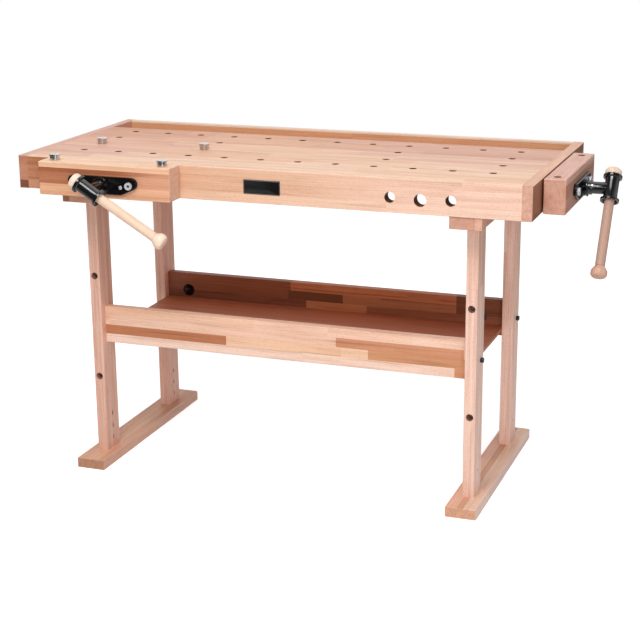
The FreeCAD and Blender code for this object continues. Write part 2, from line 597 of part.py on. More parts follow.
# --------------------------------------------------------------------------- vises
class Vise:
    """One vise in its own frame: X along the bench's face, Y into the bench, Z up.

    The frame's origin is on the screw's axis in the plane of the bench's face.  The jaw opens
    towards -Y of this frame.
    """

    def __init__(self, name, gap, jaw_thickness, board_thickness, at, spin, outward, lean):
        self.name = name
        self.thickness = jaw_thickness
        self.board = board_thickness
        self.face = f"(-({gap} + {jaw_thickness}))"
        self.plate_front = f"({self.face} - plate_thickness)"
        self.collar_front = f"({self.plate_front} - boss_height - face_gap - collar_thickness)"
        self.stub_end = f"({self.collar_front} - stub_length)"
        self.at = at
        self.spin = spin
        self.sleeve_at = shifted(at, f"{gap} + {jaw_thickness} + sleeve_reach", outward)
        self.lean = lean

    def node(self, piece, solid, lean=0):
        node(f"{self.name}_{piece}", solid, self.at, self.spin, lean)

    def sleeve_node(self, piece, solid):
        node(f"{self.name}_{piece}", solid, self.sleeve_at, self.spin, self.lean)

    def rod_places(self, y):
        return [(f"{side} * rod_spread", y, "rod_rise") for side in (-1, 1)]

    def plate_screw_places(self):
        return [(f"{side} * plate_screw_spread", self.plate_front, "-plate_screw_drop")
                for side in (-1, 1)]

    def build(self):
        self.build_jaw()
        self.build_faceplate()
        self.build_rods()
        self.build_screw()
        self.build_sleeve()
        self.build_handle()
        self.build_bracket()

    def build_jaw(self):
        name = self.name + "_jaw"
        blank = box(name + "_blank", ("jaw_length", self.thickness, "apron_height"),
                    ("-jaw_length / 2", self.face, "screw_below_top - apron_height"))
        eased = rounded(name + "_eased", blank, "jaw_round", all_edges)
        tools = [
            cylinder(name + "_screw_bore", "jaw_screw_hole / 2", self.thickness, (0, self.face, 0), "y"),
            cylinder(name + "_ring_recess", "ring_recess_diameter / 2", "ring_recess_depth",
                     (0, self.face, 0), "y"),
        ]
        for index, at in enumerate(self.rod_places(self.face)):
            tools.append(cylinder(f"{name}_rod_bore_{index}", "jaw_rod_hole / 2", self.thickness,
                                  at, "y"))
        for index, (x, _, z) in enumerate(self.plate_screw_places()):
            tools.append(cylinder(f"{name}_screw_hole_{index}", "plate_screw_radius + running_fit",
                                  "plate_screw_length - plate_thickness + wood_fit",
                                  (x, self.face, z), "y"))
        for index, side in enumerate((-1, 1)):
            tools.append(cylinder(f"{name}_dog_hole_{index}", "dog_hole_diameter / 2", "apron_height",
                                  (f"{side} * jaw_dog_spread", f"{self.face} + {self.thickness} / 2",
                                   "screw_below_top - apron_height")))
        self.node("jaw", cut(name, eased, tools))

    def build_faceplate(self):
        """Cast plate with rounded, tapering ends, a conical boss round the screw and a web each side."""
        name = self.name + "_faceplate"
        end_x = "(plate_half_length - plate_end_radius)"
        end_z = "(plate_top - plate_end_radius)"
        low_x = f"({end_x} + plate_end_radius * sin(plate_end_turn))"
        low_z = f"({end_z} - plate_end_radius * cos(plate_end_turn))"
        outline = [
            ("-plate_shoulder", "-plate_bottom"),
            ("plate_shoulder", "-plate_bottom"),
            (low_x, low_z),
            ("plate_half_length", end_z, "plate_end_radius", 1),
            (end_x, "plate_top", "plate_end_radius", 1),
            (f"-{end_x}", "plate_top"),
            ("-plate_half_length", end_z, "plate_end_radius", 1),
            (f"-{low_x}", low_z, "plate_end_radius", 1),
        ]
        slab = padded(name + "_slab", "XZ_Plane", outline, "plate_thickness")
        place(slab, (0, self.face, 0))
        eased = rounded(name + "_eased", slab, "plate_round",
                        lambda edge, solid: edge.YMax < solid.YMin + 0.01)
        boss = cone(name + "_boss", "boss_top_radius", "boss_base_radius", "boss_height",
                    (0, f"{self.plate_front} - boss_height", 0), "y")
        web = padded(name + "_web", "XY_Plane", [
            ("-web_reach", f"{self.plate_front} + plate_round"),
            ("-web_reach", self.plate_front),
            ("-boss_top_radius", f"{self.plate_front} - boss_height"),
            ("boss_top_radius", f"{self.plate_front} - boss_height"),
            ("web_reach", self.plate_front),
            ("web_reach", f"{self.plate_front} + plate_round"),
        ], "web_thickness", both_ways=True)
        holes = [cylinder(name + "_journal", "screw_diameter / 2 + running_fit",
                          "plate_thickness + boss_height",
                          (0, f"{self.plate_front} - boss_height", 0), "y")]
        for index, at in enumerate(self.rod_places(self.plate_front)):
            holes.append(cylinder(f"{name}_bolt_hole_{index}", "rod_bolt_diameter / 2 + running_fit",
                                  "plate_thickness", at, "y"))
        for index, at in enumerate(self.plate_screw_places()):
            holes.append(countersunk_hole(f"{name}_screw_hole_{index}", "plate_screw_radius",
                                          "plate_thickness", at, "y"))
        self.node("faceplate", cut(name, fuse(name + "_casting", [eased, boss, web]), holes))
        self.node("plate_screws", group(name + "_screw_set", [
            wood_screw(f"{name}_screw_{index}", "plate_screw_radius", "plate_screw_length", at, "y")
            for index, at in enumerate(self.plate_screw_places())]))

    def build_rods(self):
        name = self.name + "_rod"
        rods = []
        for index, at in enumerate(self.rod_places(self.face)):
            bar = cylinder(f"{name}_bar_{index}", "rod_diameter / 2", f"vise_reach - {self.face}",
                           at, "y")
            tapping = cylinder(f"{name}_tapping_{index}", "rod_bolt_diameter / 2 + running_fit",
                               "rod_bolt_length - plate_thickness + wood_fit", at, "y")
            rods.append(cut(f"{name}_{index}", bar, [tapping]))
        self.node("guide_rods", group(name + "_set", rods))
        self.node("rod_bolts", group(name + "_bolt_set", [
            socket_bolt(f"{name}_bolt_{index}", at, "y", ("rod_bolt_diameter", "rod_bolt_length"),
                        ("rod_bolt_head_diameter", "rod_bolt_head_height"), "rod_bolt_hexagon")
            for index, at in enumerate(self.rod_places(self.plate_front))]))

    def build_screw(self):
        """Vise screw with a stub for the sleeve, and the two rings that make it carry the jaw along."""
        name = self.name + "_screw"
        radius = "(screw_diameter / 2)"
        groove = "(screw_diameter / 2 - ring_groove_depth)"
        groove_start = f"({self.face} + face_gap)"
        groove_end = f"({groove_start} + ring_thickness + running_fit)"
        turning = turned(name + "_blank", [
            (0, self.stub_end),
            ("stub_radius", self.stub_end),
            ("stub_radius", self.collar_front),
            (radius, self.collar_front),
            (radius, groove_start),
            (groove, groove_start),
            (groove, groove_end),
            (radius, groove_end),
            (radius, "vise_reach - ring_groove_depth"),
            (groove, "vise_reach"),
            (0, "vise_reach"),
        ], "XY_Plane")
        pin_hole = cylinder(name + "_pin_hole", "sleeve_pin_radius + running_fit", "2 * neck_radius",
                            ("-neck_radius", f"{self.collar_front} - stub_length / 2", 0), "x")
        self.node("screw", cut(name, turning, [pin_hole]), self.lean)
        ring_name = self.name + "_retaining_ring"
        ring = cylinder(ring_name + "_disc", "ring_radius", "ring_thickness",
                        (0, groove_start, 0), "y")
        self.node("retaining_ring", cut(ring_name, ring, [
            cylinder(ring_name + "_hole", f"{groove} + running_fit", "ring_thickness",
                     (0, groove_start, 0), "y"),
            box(ring_name + "_slot", ("ring_slot", "ring_thickness", "ring_radius"),
                ("-ring_slot / 2", groove_start, "-ring_radius"))]))
        collar_name = self.name + "_collar"
        collar = cylinder(collar_name + "_disc", "collar_radius", "collar_thickness",
                          (0, self.collar_front, 0), "y")
        self.node("thrust_ring", cut(collar_name, collar, [
            cylinder(collar_name + "_hole", f"{radius} + running_fit", "collar_thickness",
                     (0, self.collar_front, 0), "y")]))

    def build_sleeve(self):
        """T-shaped casting: a flanged tube with flared mouths for the handle, on a neck."""
        name = self.name + "_sleeve"
        half = "(sleeve_length / 2)"
        bore_radius = "handle_diameter / 2 + handle_fit"
        tube = turned(name + "_tube", [
            (0, f"-{half}"),
            ("flange_radius", f"-{half}"),
            ("flange_radius", f"-({half} - flange_thickness)"),
            ("sleeve_radius + flange_root", f"-({half} - flange_thickness)"),
            ("sleeve_radius", f"-({half} - flange_thickness - flange_root)"),
            ("sleeve_radius", f"{half} - flange_thickness - flange_root"),
            ("sleeve_radius + flange_root", f"{half} - flange_thickness"),
            ("flange_radius", f"{half} - flange_thickness"),
            ("flange_radius", half),
            (0, half),
        ])
        neck_end = "(sleeve_reach - plate_thickness - boss_height - face_gap - collar_thickness)"
        neck = cylinder(name + "_neck", "neck_radius", neck_end, (0, 0, 0), "y")
        base = cylinder(name + "_neck_base", "neck_base_radius", "neck_base_length",
                        (0, f"{neck_end} - neck_base_length", 0), "y")
        bore = turned(name + "_bore", [
            (0, f"-{half}"),
            ("mouth_radius", f"-{half}"),
            (bore_radius, f"-({half} - mouth_depth)"),
            (bore_radius, f"{half} - mouth_depth"),
            ("mouth_radius", half),
            (0, half),
        ])
        stub_bore = cylinder(name + "_stub_bore", "stub_radius + running_fit", "stub_length + wood_fit",
                             (0, f"{neck_end} - stub_length - wood_fit", 0), "y")
        pin_at = ("-neck_radius", f"{neck_end} - stub_length / 2", 0)
        pin_hole = cylinder(name + "_pin_hole", "sleeve_pin_radius + running_fit",
                            "2 * neck_radius", pin_at, "x")
        self.sleeve_node("sleeve", cut(name, fuse(name + "_casting", [tube, neck, base]),
                                       [bore, stub_bore, pin_hole]))
        self.sleeve_node("sleeve_pin", group(name + "_pins", [
            cylinder(name + "_pin_bar", "sleeve_pin_radius", "2 * neck_radius", pin_at, "x")]))

    def build_handle(self):
        """Turned handle, slid down until its upper knob sits in the sleeve's mouth."""
        name = self.name + "_handle"
        upper = "(sleeve_length / 2 - mouth_depth)"
        lower = f"({upper} - handle_length)"
        shaft = turned(name + "_shaft", [
            (0, f"{lower} - handle_tenon_length"),
            ("handle_tenon_radius", f"{lower} - handle_tenon_length"),
            ("handle_tenon_radius", lower),
            ("handle_diameter / 2", lower),
            ("handle_diameter / 2", upper),
            ("handle_tenon_radius", upper),
            ("handle_tenon_radius", f"{upper} + handle_tenon_length"),
            (0, f"{upper} + handle_tenon_length"),
        ])
        self.sleeve_node("handle", shaft)
        self.build_knob("knob_upper", upper, 1)
        self.build_knob("knob_lower", lower, -1)

    def build_knob(self, piece, start, way):
        """Knob with a conical neck, its outline running from the shaft's shoulder along the way."""
        def height(distance):
            return f"{start} + {way} * ({distance})"
        socket = "handle_tenon_radius + running_fit"
        socket_end = height("handle_tenon_length + wood_fit")
        corners = [
            (socket, height("0")),
            ("handle_diameter / 2", height("0")),
            ("knob_diameter / 2", height("knob_neck")),
            ("knob_diameter / 2", height("knob_length - knob_end_round")),
            ("knob_diameter / 2 - knob_end_round", height("knob_length"), "knob_end_round", way),
            (0, height("knob_length")),
            (0, socket_end),
            (socket, socket_end),
        ]
        self.sleeve_node(piece, turned(f"{self.name}_{piece}_turning", corners))

    def build_bracket(self):
        """Cast plate behind the bench's face with the nut and the two tubes that guide the rods."""
        name = self.name + "_bracket"
        plate = box(name + "_plate", ("bracket_length", "bracket_thickness", "bracket_height"),
                    ("-bracket_length / 2", self.board, "-bracket_height / 2"))
        eased = rounded(name + "_eased", plate, "board_round",
                        lambda edge, solid: edge.YLength > 0.99 * solid.YLength)
        nut = cylinder(name + "_nut", "nut_radius", "bracket_thickness + nut_length",
                       (0, self.board, 0), "y")
        tubes = [cylinder(f"{name}_guide_{index}", "guide_radius", "bracket_thickness + guide_length",
                          at, "y") for index, at in enumerate(self.rod_places(self.board))]
        holes = [cylinder(name + "_screw_bore", "screw_diameter / 2 + running_fit",
                          "bracket_thickness + nut_length", (0, self.board, 0), "y")]
        for index, at in enumerate(self.rod_places(self.board)):
            holes.append(cylinder(f"{name}_rod_bore_{index}", "rod_diameter / 2 + running_fit",
                                  "bracket_thickness + guide_length", at, "y"))
        back = f"({self.board} + bracket_thickness)"
        screw_places = [(f"{side} * bracket_screw_spread", back, f"{up} * bracket_screw_rise")
                        for side in (-1, 1) for up in (-1, 1)]
        for index, at in enumerate(screw_places):
            holes.append(countersunk_hole(f"{name}_hole_{index}", "bracket_screw_radius",
                                          "bracket_thickness", at, "-y"))
        self.node("nut_bracket", cut(name, fuse(name + "_casting", [eased, nut] + tubes), holes))
        self.node("bracket_screws", group(name + "_screw_set", [
            wood_screw(f"{name}_screw_{index}", "bracket_screw_radius", "bracket_screw_length",
                       at, "-y") for index, at in enumerate(screw_places)]))


# --------------------------------------------------------------------------- bench dogs
def build_dog(label, x, y):
    """Round dog in a hole of the top or of the front jaw, its rimmed drum standing on the wood."""
    radius = "(dog_hole_diameter / 2 - dog_clearance)"
    rim_bottom = "(dog_standing - dog_rim_height)"
    dog = turned(label + "_turning", [
        (0, "-dog_shank_length"),
        (f"{radius} - dog_point", "-dog_shank_length"),
        (radius, "-(dog_shank_length - dog_point)"),
        (radius, "face_gap"),
        ("dog_drum_diameter / 2", "face_gap"),
        ("dog_drum_diameter / 2", rim_bottom),
        ("dog_rim_diameter / 2", rim_bottom),
        ("dog_rim_diameter / 2", "dog_standing - dog_rim_bevel"),
        ("dog_rim_diameter / 2 - dog_rim_bevel", "dog_standing"),
        (0, "dog_standing"),
    ])
    node(label, dog, (x, y, "bench_height"))


def build_dogs():
    jaw_line = "(-front_gap - front_jaw_thickness / 2)"
    second_row = "dog_first + dog_row_pitch"
    build_dog("dog_top_left", "dog_first", second_row)
    build_dog("dog_top_right", f"dog_first + 3 * {DOG_COLUMN_PITCH}", second_row)
    build_dog("dog_jaw_left", f"{VISE_MIDDLES['front']} - jaw_dog_spread", jaw_line)
    build_dog("dog_jaw_right", f"{VISE_MIDDLES['front']} + jaw_dog_spread", jaw_line)


# --------------------------------------------------------------------------- assembly
build_slab()
build_apron()
build_caps()
build_rails()
for trestle_side in TRESTLE_MIDDLES:
    build_trestle(trestle_side)
    for upright_row in UPRIGHT_ROWS:
        build_upright(trestle_side, upright_row)
build_bearer_screws()
build_shelf()
build_shelf_fastenings()
Vise("front", "front_gap", "front_jaw_thickness", "apron_thickness",
     (VISE_MIDDLES["front"], "0", VISE_HEIGHT), 0, "-y", "front_lean").build()
Vise("tail", "tail_gap", "tail_jaw_thickness", "cap_thickness",
     ("top_length", VISE_MIDDLES["tail"], VISE_HEIGHT), 90, "x", "tail_lean").build()
build_dogs()

doc.recompute()
failed = [thing.Name for thing in doc.Objects if "Invalid" in thing.State or "Error" in thing.State]
if failed:
    raise RuntimeError("failed to rebuild: " + ", ".join(failed))
for piece in nodes:
    if piece.Shape.isNull() or not piece.Shape.isValid():
        raise RuntimeError("no valid solid: " + piece.Label)

os.makedirs("parts", exist_ok=True)
for piece in nodes:
    piece.Shape.exportStep(os.path.join("parts", piece.Label + ".step"))
print(len(nodes), "sub-parts written")
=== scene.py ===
import math

import bmesh
import bpy
from bpy.props import FloatProperty, FloatVectorProperty, PointerProperty
from mathutils import Matrix, Vector


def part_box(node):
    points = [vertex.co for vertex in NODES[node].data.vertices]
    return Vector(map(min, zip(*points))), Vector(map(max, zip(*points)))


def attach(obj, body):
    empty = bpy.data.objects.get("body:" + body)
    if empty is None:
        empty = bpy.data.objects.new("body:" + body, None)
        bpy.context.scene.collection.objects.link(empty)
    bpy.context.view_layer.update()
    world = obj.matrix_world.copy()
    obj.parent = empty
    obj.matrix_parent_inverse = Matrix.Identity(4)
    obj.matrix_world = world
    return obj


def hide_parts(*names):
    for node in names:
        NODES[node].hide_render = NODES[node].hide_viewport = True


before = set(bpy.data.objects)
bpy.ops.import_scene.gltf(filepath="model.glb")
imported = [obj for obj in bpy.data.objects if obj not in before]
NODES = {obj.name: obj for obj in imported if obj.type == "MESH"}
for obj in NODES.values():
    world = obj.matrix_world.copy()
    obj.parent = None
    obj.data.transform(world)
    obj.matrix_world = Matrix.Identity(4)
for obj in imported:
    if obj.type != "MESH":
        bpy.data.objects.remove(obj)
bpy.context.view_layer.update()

bl_info = {
    "name": "Joiner's Workbench",
    "version": (1, 0, 0),
    "blender": (4, 5, 0),
    "location": "View3D > Sidebar > Workbench",
    "description": "Finishes, turned parts, castings and studio of a beech workbench "
                   "with two vises",
    "category": "Object",
}

AXES = "xyz"
MM = 0.001
WHITE = (1.0, 1.0, 1.0, 1.0)
# Edges sharper than this stay sharp in the shading, and bevels break them.
CREASE = math.radians(35)

# The floor below the left front corner of the bench top; rows of staves are measured from it in mm.
CORNER = Vector((-0.753, -0.23075, 0.0))
# Where a board's first row of staves begins: short of every board.
EDGE = -99
# A ramp of colours along a board runs from -REACH to REACH on the bench, in metres.
REACH = 1.0
# How far apart a Wave texture's bands are at Scale 1, in metres.
BAND = 0.314

# Vise frames: X along the bench's face, Y into the bench, Z up, from the screw's axis in that face.
# lean is the handle's angle from upright, face is how far the jaw's outer face stands out.
VISES = {
    "front": {"at": CORNER + Vector((0.275, 0.0, 0.799)), "spin": 0.0,
              "lean": math.radians(-59), "face": 0.0605},
    "tail": {"at": CORNER + Vector((1.350, 0.275, 0.799)), "spin": math.radians(90),
             "lean": math.radians(35), "face": 0.058},
}
# What lies on the jaw's outer face, from the jaw outward.
PLATE = 0.008
BOSS = 0.008
PLAY = 0.0003
THRUST_RING = 0.003
# From the jaw's outer face to the middle of the handle's sleeve.
SLEEVE_REACH = 0.075
# Where the guide rods stand from the screw, along the jaw and up.
ROD_PLACES = ((-0.075, 0.003), (0.075, 0.003))
# How far the guide rods and the screws run into the bench from its face.
ROD_END = 0.24
SCREW_END = 0.2385
DOGS = ("dog_top_left", "dog_top_right", "dog_jaw_left", "dog_jaw_right")

# How bright metal sees the dim room round the bench.
ROOM = 0.12
# Name, place, what it is aimed at, size in metres, power in watts.
LAMPS = (("key", (0.1, -2.9, 3.9), (0, 0, 0.7), (2.2, 2.2), 94),
         ("strip", (0.1, -2.88, 3.86), (0, 0, 0.7), (2.4, 0.22), 24),
         ("fill", (2.4, -3.8, 1.3), (0, 0, 0.5), (2.2, 2.2), 50),
         ("top", (-0.2, 0.6, 3.6), (0, 0, 0.8), (2.6, 2.6), 17))


# ---- colour and nodes
def linear(code):
    """The linear colour of an sRGB hex code."""
    parts = [int(code[i:i + 2], 16) / 255 for i in (0, 2, 4)]
    return tuple(p / 12.92 if p <= 0.04045 else ((p + 0.055) / 1.055) ** 2.4 for p in parts)


def add(tree, kind, inputs=None, stops=None, **settings):
    """Adds a shader node; an input takes a value or the socket that feeds it, stops fill a ramp."""
    node = tree.nodes.new("ShaderNode" + kind)
    for name, setting in settings.items():
        setattr(node, name, setting)
    for name, source in (inputs or {}).items():
        if isinstance(source, bpy.types.NodeSocket):
            tree.links.new(source, node.inputs[name])
        else:
            node.inputs[name].default_value = source
    if stops:
        ramp = node.color_ramp.elements
        while len(ramp) < len(stops):
            ramp.new(1.0)
        while len(ramp) > len(stops):
            ramp.remove(ramp[-1])
        for element, (position, colour) in zip(ramp, stops):
            element.position = position
            element.color = (*colour, 1.0)
    return node


def new_material(name):
    material = bpy.data.materials.new(name)
    material.use_nodes = True
    material.node_tree.nodes.clear()
    return material, material.node_tree


def finish_material(tree, inputs):
    surface = add(tree, "BsdfPrincipled", inputs)
    add(tree, "OutputMaterial", {"Surface": surface.outputs["BSDF"]})


# ---- wood
def lay_staves(tree, colour, rows, blend, split, grain, across):
    """Lays rows of staves over a colour, each with its joints along the grain."""
    along = AXES.index(grain)
    over = AXES.index(across)
    reach = add(tree, "MapRange", {0: split[along], 1: -REACH, 2: REACH}).outputs[0]
    for begin, first, *rest in rows:
        stops = [(0.0, linear(first))]
        for joint, code in zip(rest[::2], rest[1::2]):
            place = joint * MM + CORNER[along]
            stops.append(((REACH + place) / (2 * REACH), linear(code)))
        laid = add(tree, "ValToRGB", {0: reach}, stops)
        laid.color_ramp.interpolation = blend
        inside = add(tree, "Math", {0: split[over], 1: begin * MM + CORNER[over]},
                     operation="GREATER_THAN").outputs[0]
        colour = add(tree, "Mix", {0: inside, 6: colour, 7: laid.outputs["Color"]},
                     data_type="RGBA").outputs[2]
    return colour


def bore_shade_mask(tree, split, node):
    """Painted shade on the walls of a board's holes and grooves: more than 1 mm inside its box."""
    low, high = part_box(node)
    walls = None
    for axis in range(3):
        within = add(tree, "Math", {0: split[axis], 1: (low[axis] + high[axis]) / 2,
                                    2: (high[axis] - low[axis]) / 2 - MM},
                     operation="COMPARE").outputs[0]
        if walls:
            within = add(tree, "Math", {0: within, 1: walls}, operation="MULTIPLY").outputs[0]
        walls = within
    return walls


def tear_mask(tree, split, normal, ray, torn):
    """Where an upright has torn fibres: 5 mm wide and 17 mm long at three pilot holes, frayed."""
    middle, height, spacing, inner_side = torn
    sway = 0.006
    fray = add(tree, "TexNoise", {"Vector": ray, "Scale": 260.0, "Detail": 2.0}).outputs["Fac"]
    wander = add(tree, "Math", {0: fray, 1: sway, 2: -middle - sway / 2},
                 operation="MULTIPLY_ADD").outputs[0]
    aside = add(tree, "Math", {0: split["Y"], 1: wander}).outputs[0]
    from_middle = add(tree, "Math", {0: split["Z"], 1: height}, operation="SUBTRACT").outputs[0]
    nearest = add(tree, "Math", {0: from_middle, 1: spacing / 2},
                  operation="PINGPONG").outputs[0]
    lengthwise = add(tree, "Math", {0: nearest, 1: 0.3}, operation="MULTIPLY").outputs[0]
    span = add(tree, "CombineXYZ", {0: aside, 1: lengthwise}).outputs[0]
    span = add(tree, "VectorMath", {0: span}, operation="LENGTH").outputs["Value"]
    tear = add(tree, "MapRange", {0: span, 1: 0.0032, 2: 0.0018}).outputs[0]
    close = add(tree, "Math", {0: from_middle, 1: 0.0, 2: 1.4 * spacing},
                operation="COMPARE").outputs[0]
    tear = add(tree, "Math", {0: tear, 1: close}, operation="MULTIPLY").outputs[0]
    tear = add(tree, "Math", {0: tear, 1: fray}, operation="MULTIPLY").outputs[0]
    inner = add(tree, "SeparateXYZ", {0: normal}).outputs["X"]
    inner = add(tree, "Math", {0: inner, 1: inner_side}, operation="MULTIPLY").outputs[0]
    inner = add(tree, "MapRange", {0: inner, 1: 0.5, 2: 0.9}).outputs[0]
    return add(tree, "Math", {0: tear, 1: inner}, operation="MULTIPLY").outputs[0]


def beech(name, grain, across, stave, palette, rows=None, blend="CONSTANT", node=None,
          frame_at=None, seed=0.0, figure=1.0, veins=0.2, bores=1.0, torn=None, end_shade=0.5,
          end_tone=None, roughness=0.47):
    """Planed European beech, rubbed with oil.

    The eye gets glued staves of slightly different tone, long soft streaks of the growth rings,
    short dark ray flecks, darker end grain, painted shade in holes and grooves and a low satin
    sheen.
    grain and across are axes, stave is (width, length).  rows lays out a board's staves one by one:
    each row is where it begins across, its first colour, then joint, colour, joint, colour along
    the grain, in mm from CORNER.  figure, veins, bores and end_shade are strengths.  end_tone is
    the colour of the end grain where it isn't just a shade of the sides.  torn is the (y, height,
    spacing, inner side) of three pilot holes that have dark torn fibres round them.
    """
    material, tree = new_material(name)
    place = add(tree, "TexCoord")
    point = place.outputs["Object"]
    normal = place.outputs["Normal"]
    if frame_at:
        location, turn = frame_at
        point = add(tree, "Mapping", {"Vector": point, "Location": location, "Rotation": turn},
                    vector_type="TEXTURE").outputs[0]
        normal = add(tree, "Mapping", {"Vector": normal, "Rotation": turn},
                     vector_type="TEXTURE").outputs[0]
    split = add(tree, "SeparateXYZ", {0: point}).outputs
    along = split[AXES.index(grain)]
    over = split[AXES.index(across)]
    deep = split[3 - AXES.index(grain) - AXES.index(across)]

    # each stave's own number, from its row and from its place along the row
    width, length = stave
    row = add(tree, "Math", {0: over, 1: 1 / width, 2: seed},
              operation="MULTIPLY_ADD").outputs[0]
    row = add(tree, "Math", {0: row}, operation="FLOOR").outputs[0]
    start = add(tree, "TexWhiteNoise", {"W": row}, noise_dimensions="1D").outputs["Value"]
    most_shift = 9.7  # staves by which a row can be shifted
    start = add(tree, "Math", {0: start, 1: most_shift, 2: seed},
                operation="MULTIPLY_ADD").outputs[0]
    piece = add(tree, "Math", {0: along, 1: 1 / length, 2: start},
                operation="MULTIPLY_ADD").outputs[0]
    piece = add(tree, "Math", {0: piece}, operation="FLOOR").outputs[0]
    number = add(tree, "CombineXYZ", {0: row, 1: piece, 2: seed}).outputs[0]
    chance = add(tree, "TexWhiteNoise", {"Vector": number}, noise_dimensions="3D").outputs
    stops = [(i / max(len(palette) - 1, 1), linear(code)) for i, code in enumerate(palette)]
    colour = add(tree, "ValToRGB", {0: chance["Value"]}, stops).outputs["Color"]
    if rows:
        colour = lay_staves(tree, colour, rows, blend, split, grain, across)

    # the tree that each stave was sawn from: rings about a pith somewhere off the stave
    drawn_out = add(tree, "Math", {0: along, 1: 0.06}, operation="MULTIPLY").outputs[0]
    log = add(tree, "CombineXYZ", {0: drawn_out, 1: over, 2: deep}).outputs[0]
    farthest_pith = (3.0, 0.16, 0.16)
    pith = add(tree, "VectorMath", {0: chance["Color"], 1: farthest_pith, 2: log},
               operation="MULTIPLY_ADD").outputs[0]
    ring_width = 0.0055  # real rings are 2 to 3 mm wide, drawn coarser so that they show
    rings = add(tree, "TexWave", {"Vector": pith, "Scale": BAND / ring_width, "Distortion": 4.0,
                                  "Detail": 2.5, "Detail Scale": 0.8, "Detail Roughness": 0.6},
                wave_type="RINGS", rings_direction="X", wave_profile="SIN").outputs["Fac"]
    rings = add(tree, "Math", {0: rings, 1: 1.8}, operation="POWER").outputs[0]
    # streaks of late wood 14 mm apart and 240 mm long
    streaks = add(tree, "TexNoise", {"Vector": pith, "Scale": 70.0, "Detail": 3.0, "Roughness": 0.6}
                  ).outputs["Fac"]
    streaks = add(tree, "MapRange", {0: streaks, 1: 0.42, 2: 0.68}).outputs[0]
    # fibres 3 mm apart and 150 mm long, drawn coarser than real ones
    fibre = add(tree, "VectorMath", {0: pith, 1: (0.35, 1.0, 1.0)}, operation="MULTIPLY").outputs[0]
    fibres = add(tree, "TexNoise", {"Vector": fibre, "Scale": 330.0, "Detail": 2.0}).outputs["Fac"]
    fibres = add(tree, "MapRange", {0: fibres, 1: 0.35, 2: 0.75}).outputs[0]
    # dark veins 8 mm apart and 380 mm long
    vein = add(tree, "TexNoise", {"Vector": fibre, "Scale": 125.0, "Detail": 3.0, "Roughness": 0.6,
                                  "Distortion": 0.4}).outputs["Fac"]
    vein = add(tree, "MapRange", {0: vein, 1: 0.55, 2: 0.70}).outputs[0]
    # open pores 1.6 mm apart and 26 mm long, drawn coarser than real ones
    pores = add(tree, "TexNoise", {"Vector": pith, "Scale": 640.0, "Detail": 3.0, "Roughness": 0.6}
                ).outputs["Fac"]
    # ray flecks 1.2 mm apart and 4 mm long
    short = add(tree, "Math", {0: along, 1: 0.3}, operation="MULTIPLY").outputs[0]
    ray = add(tree, "CombineXYZ", {0: short, 1: over, 2: deep}).outputs[0]
    flecks = add(tree, "TexNoise", {"Vector": ray, "Scale": 800.0, "Detail": 1.0}).outputs["Fac"]
    flecks = add(tree, "MapRange", {0: flecks, 1: 0.60, 2: 0.70}).outputs[0]
    # slow change from cream to rose, 140 mm across and some 2 m along the grain
    blush = add(tree, "TexNoise", {"Vector": pith, "Scale": 7.0, "Detail": 2.0}).outputs["Fac"]
    blush = add(tree, "MapRange", {0: blush, 1: 0.35, 2: 0.65}).outputs[0]
    faces_end = add(tree, "SeparateXYZ", {0: normal}).outputs[AXES.index(grain)]
    faces_end = add(tree, "Math", {0: faces_end}, operation="ABSOLUTE").outputs[0]
    faces_end = add(tree, "MapRange", {0: faces_end, 1: 0.75, 2: 0.92}).outputs[0]
    if end_tone:
        colour = add(tree, "Mix", {0: faces_end, 6: colour, 7: (*linear(end_tone), 1.0)},
                     data_type="RGBA").outputs[2]
    # each mark's mask, its strength and the tint that it multiplies the colour by
    marks = [(blush, 0.5 * figure, (1.0, 0.92, 0.88)),
             (streaks, 0.44 * figure, (0.78, 0.62, 0.53)),
             (rings, 0.18 * figure, (0.78, 0.64, 0.56)),
             (fibres, 0.30 * figure, (0.82, 0.72, 0.65)),
             (pores, 0.30 * figure, (0.82, 0.71, 0.63)),
             (flecks, 0.38 * figure, (0.62, 0.44, 0.34)),
             (vein, veins, (0.50, 0.36, 0.28)),
             (faces_end, end_shade, (0.72, 0.58, 0.52))]
    # painted shade on the walls of holes and grooves, as strong as bores
    if node:
        marks.append((bore_shade_mask(tree, split, node), bores, (0.13, 0.07, 0.045)))
    if torn:
        marks.append((tear_mask(tree, split, normal, ray, torn), 1.5, (0.30, 0.17, 0.12)))
    for mask, strength, tint in marks:
        amount = add(tree, "Math", {0: mask, 1: strength}, operation="MULTIPLY").outputs[0]
        colour = add(tree, "Mix", {0: amount, 6: colour, 7: (*tint, 1.0)},
                     data_type="RGBA", blend_type="MULTIPLY").outputs[2]
    sheen = add(tree, "MapRange", {0: pores, 3: roughness - 0.08, 4: roughness + 0.10}).outputs[0]
    height = add(tree, "Math", {0: rings, 1: 0.35, 2: pores}, operation="MULTIPLY_ADD").outputs[0]
    bump = add(tree, "Bump", {"Strength": 0.30, "Distance": 0.0003, "Height": height}).outputs[0]
    finish_material(tree, {"Base Color": colour, "Roughness": sheen, "Normal": bump})
    return material


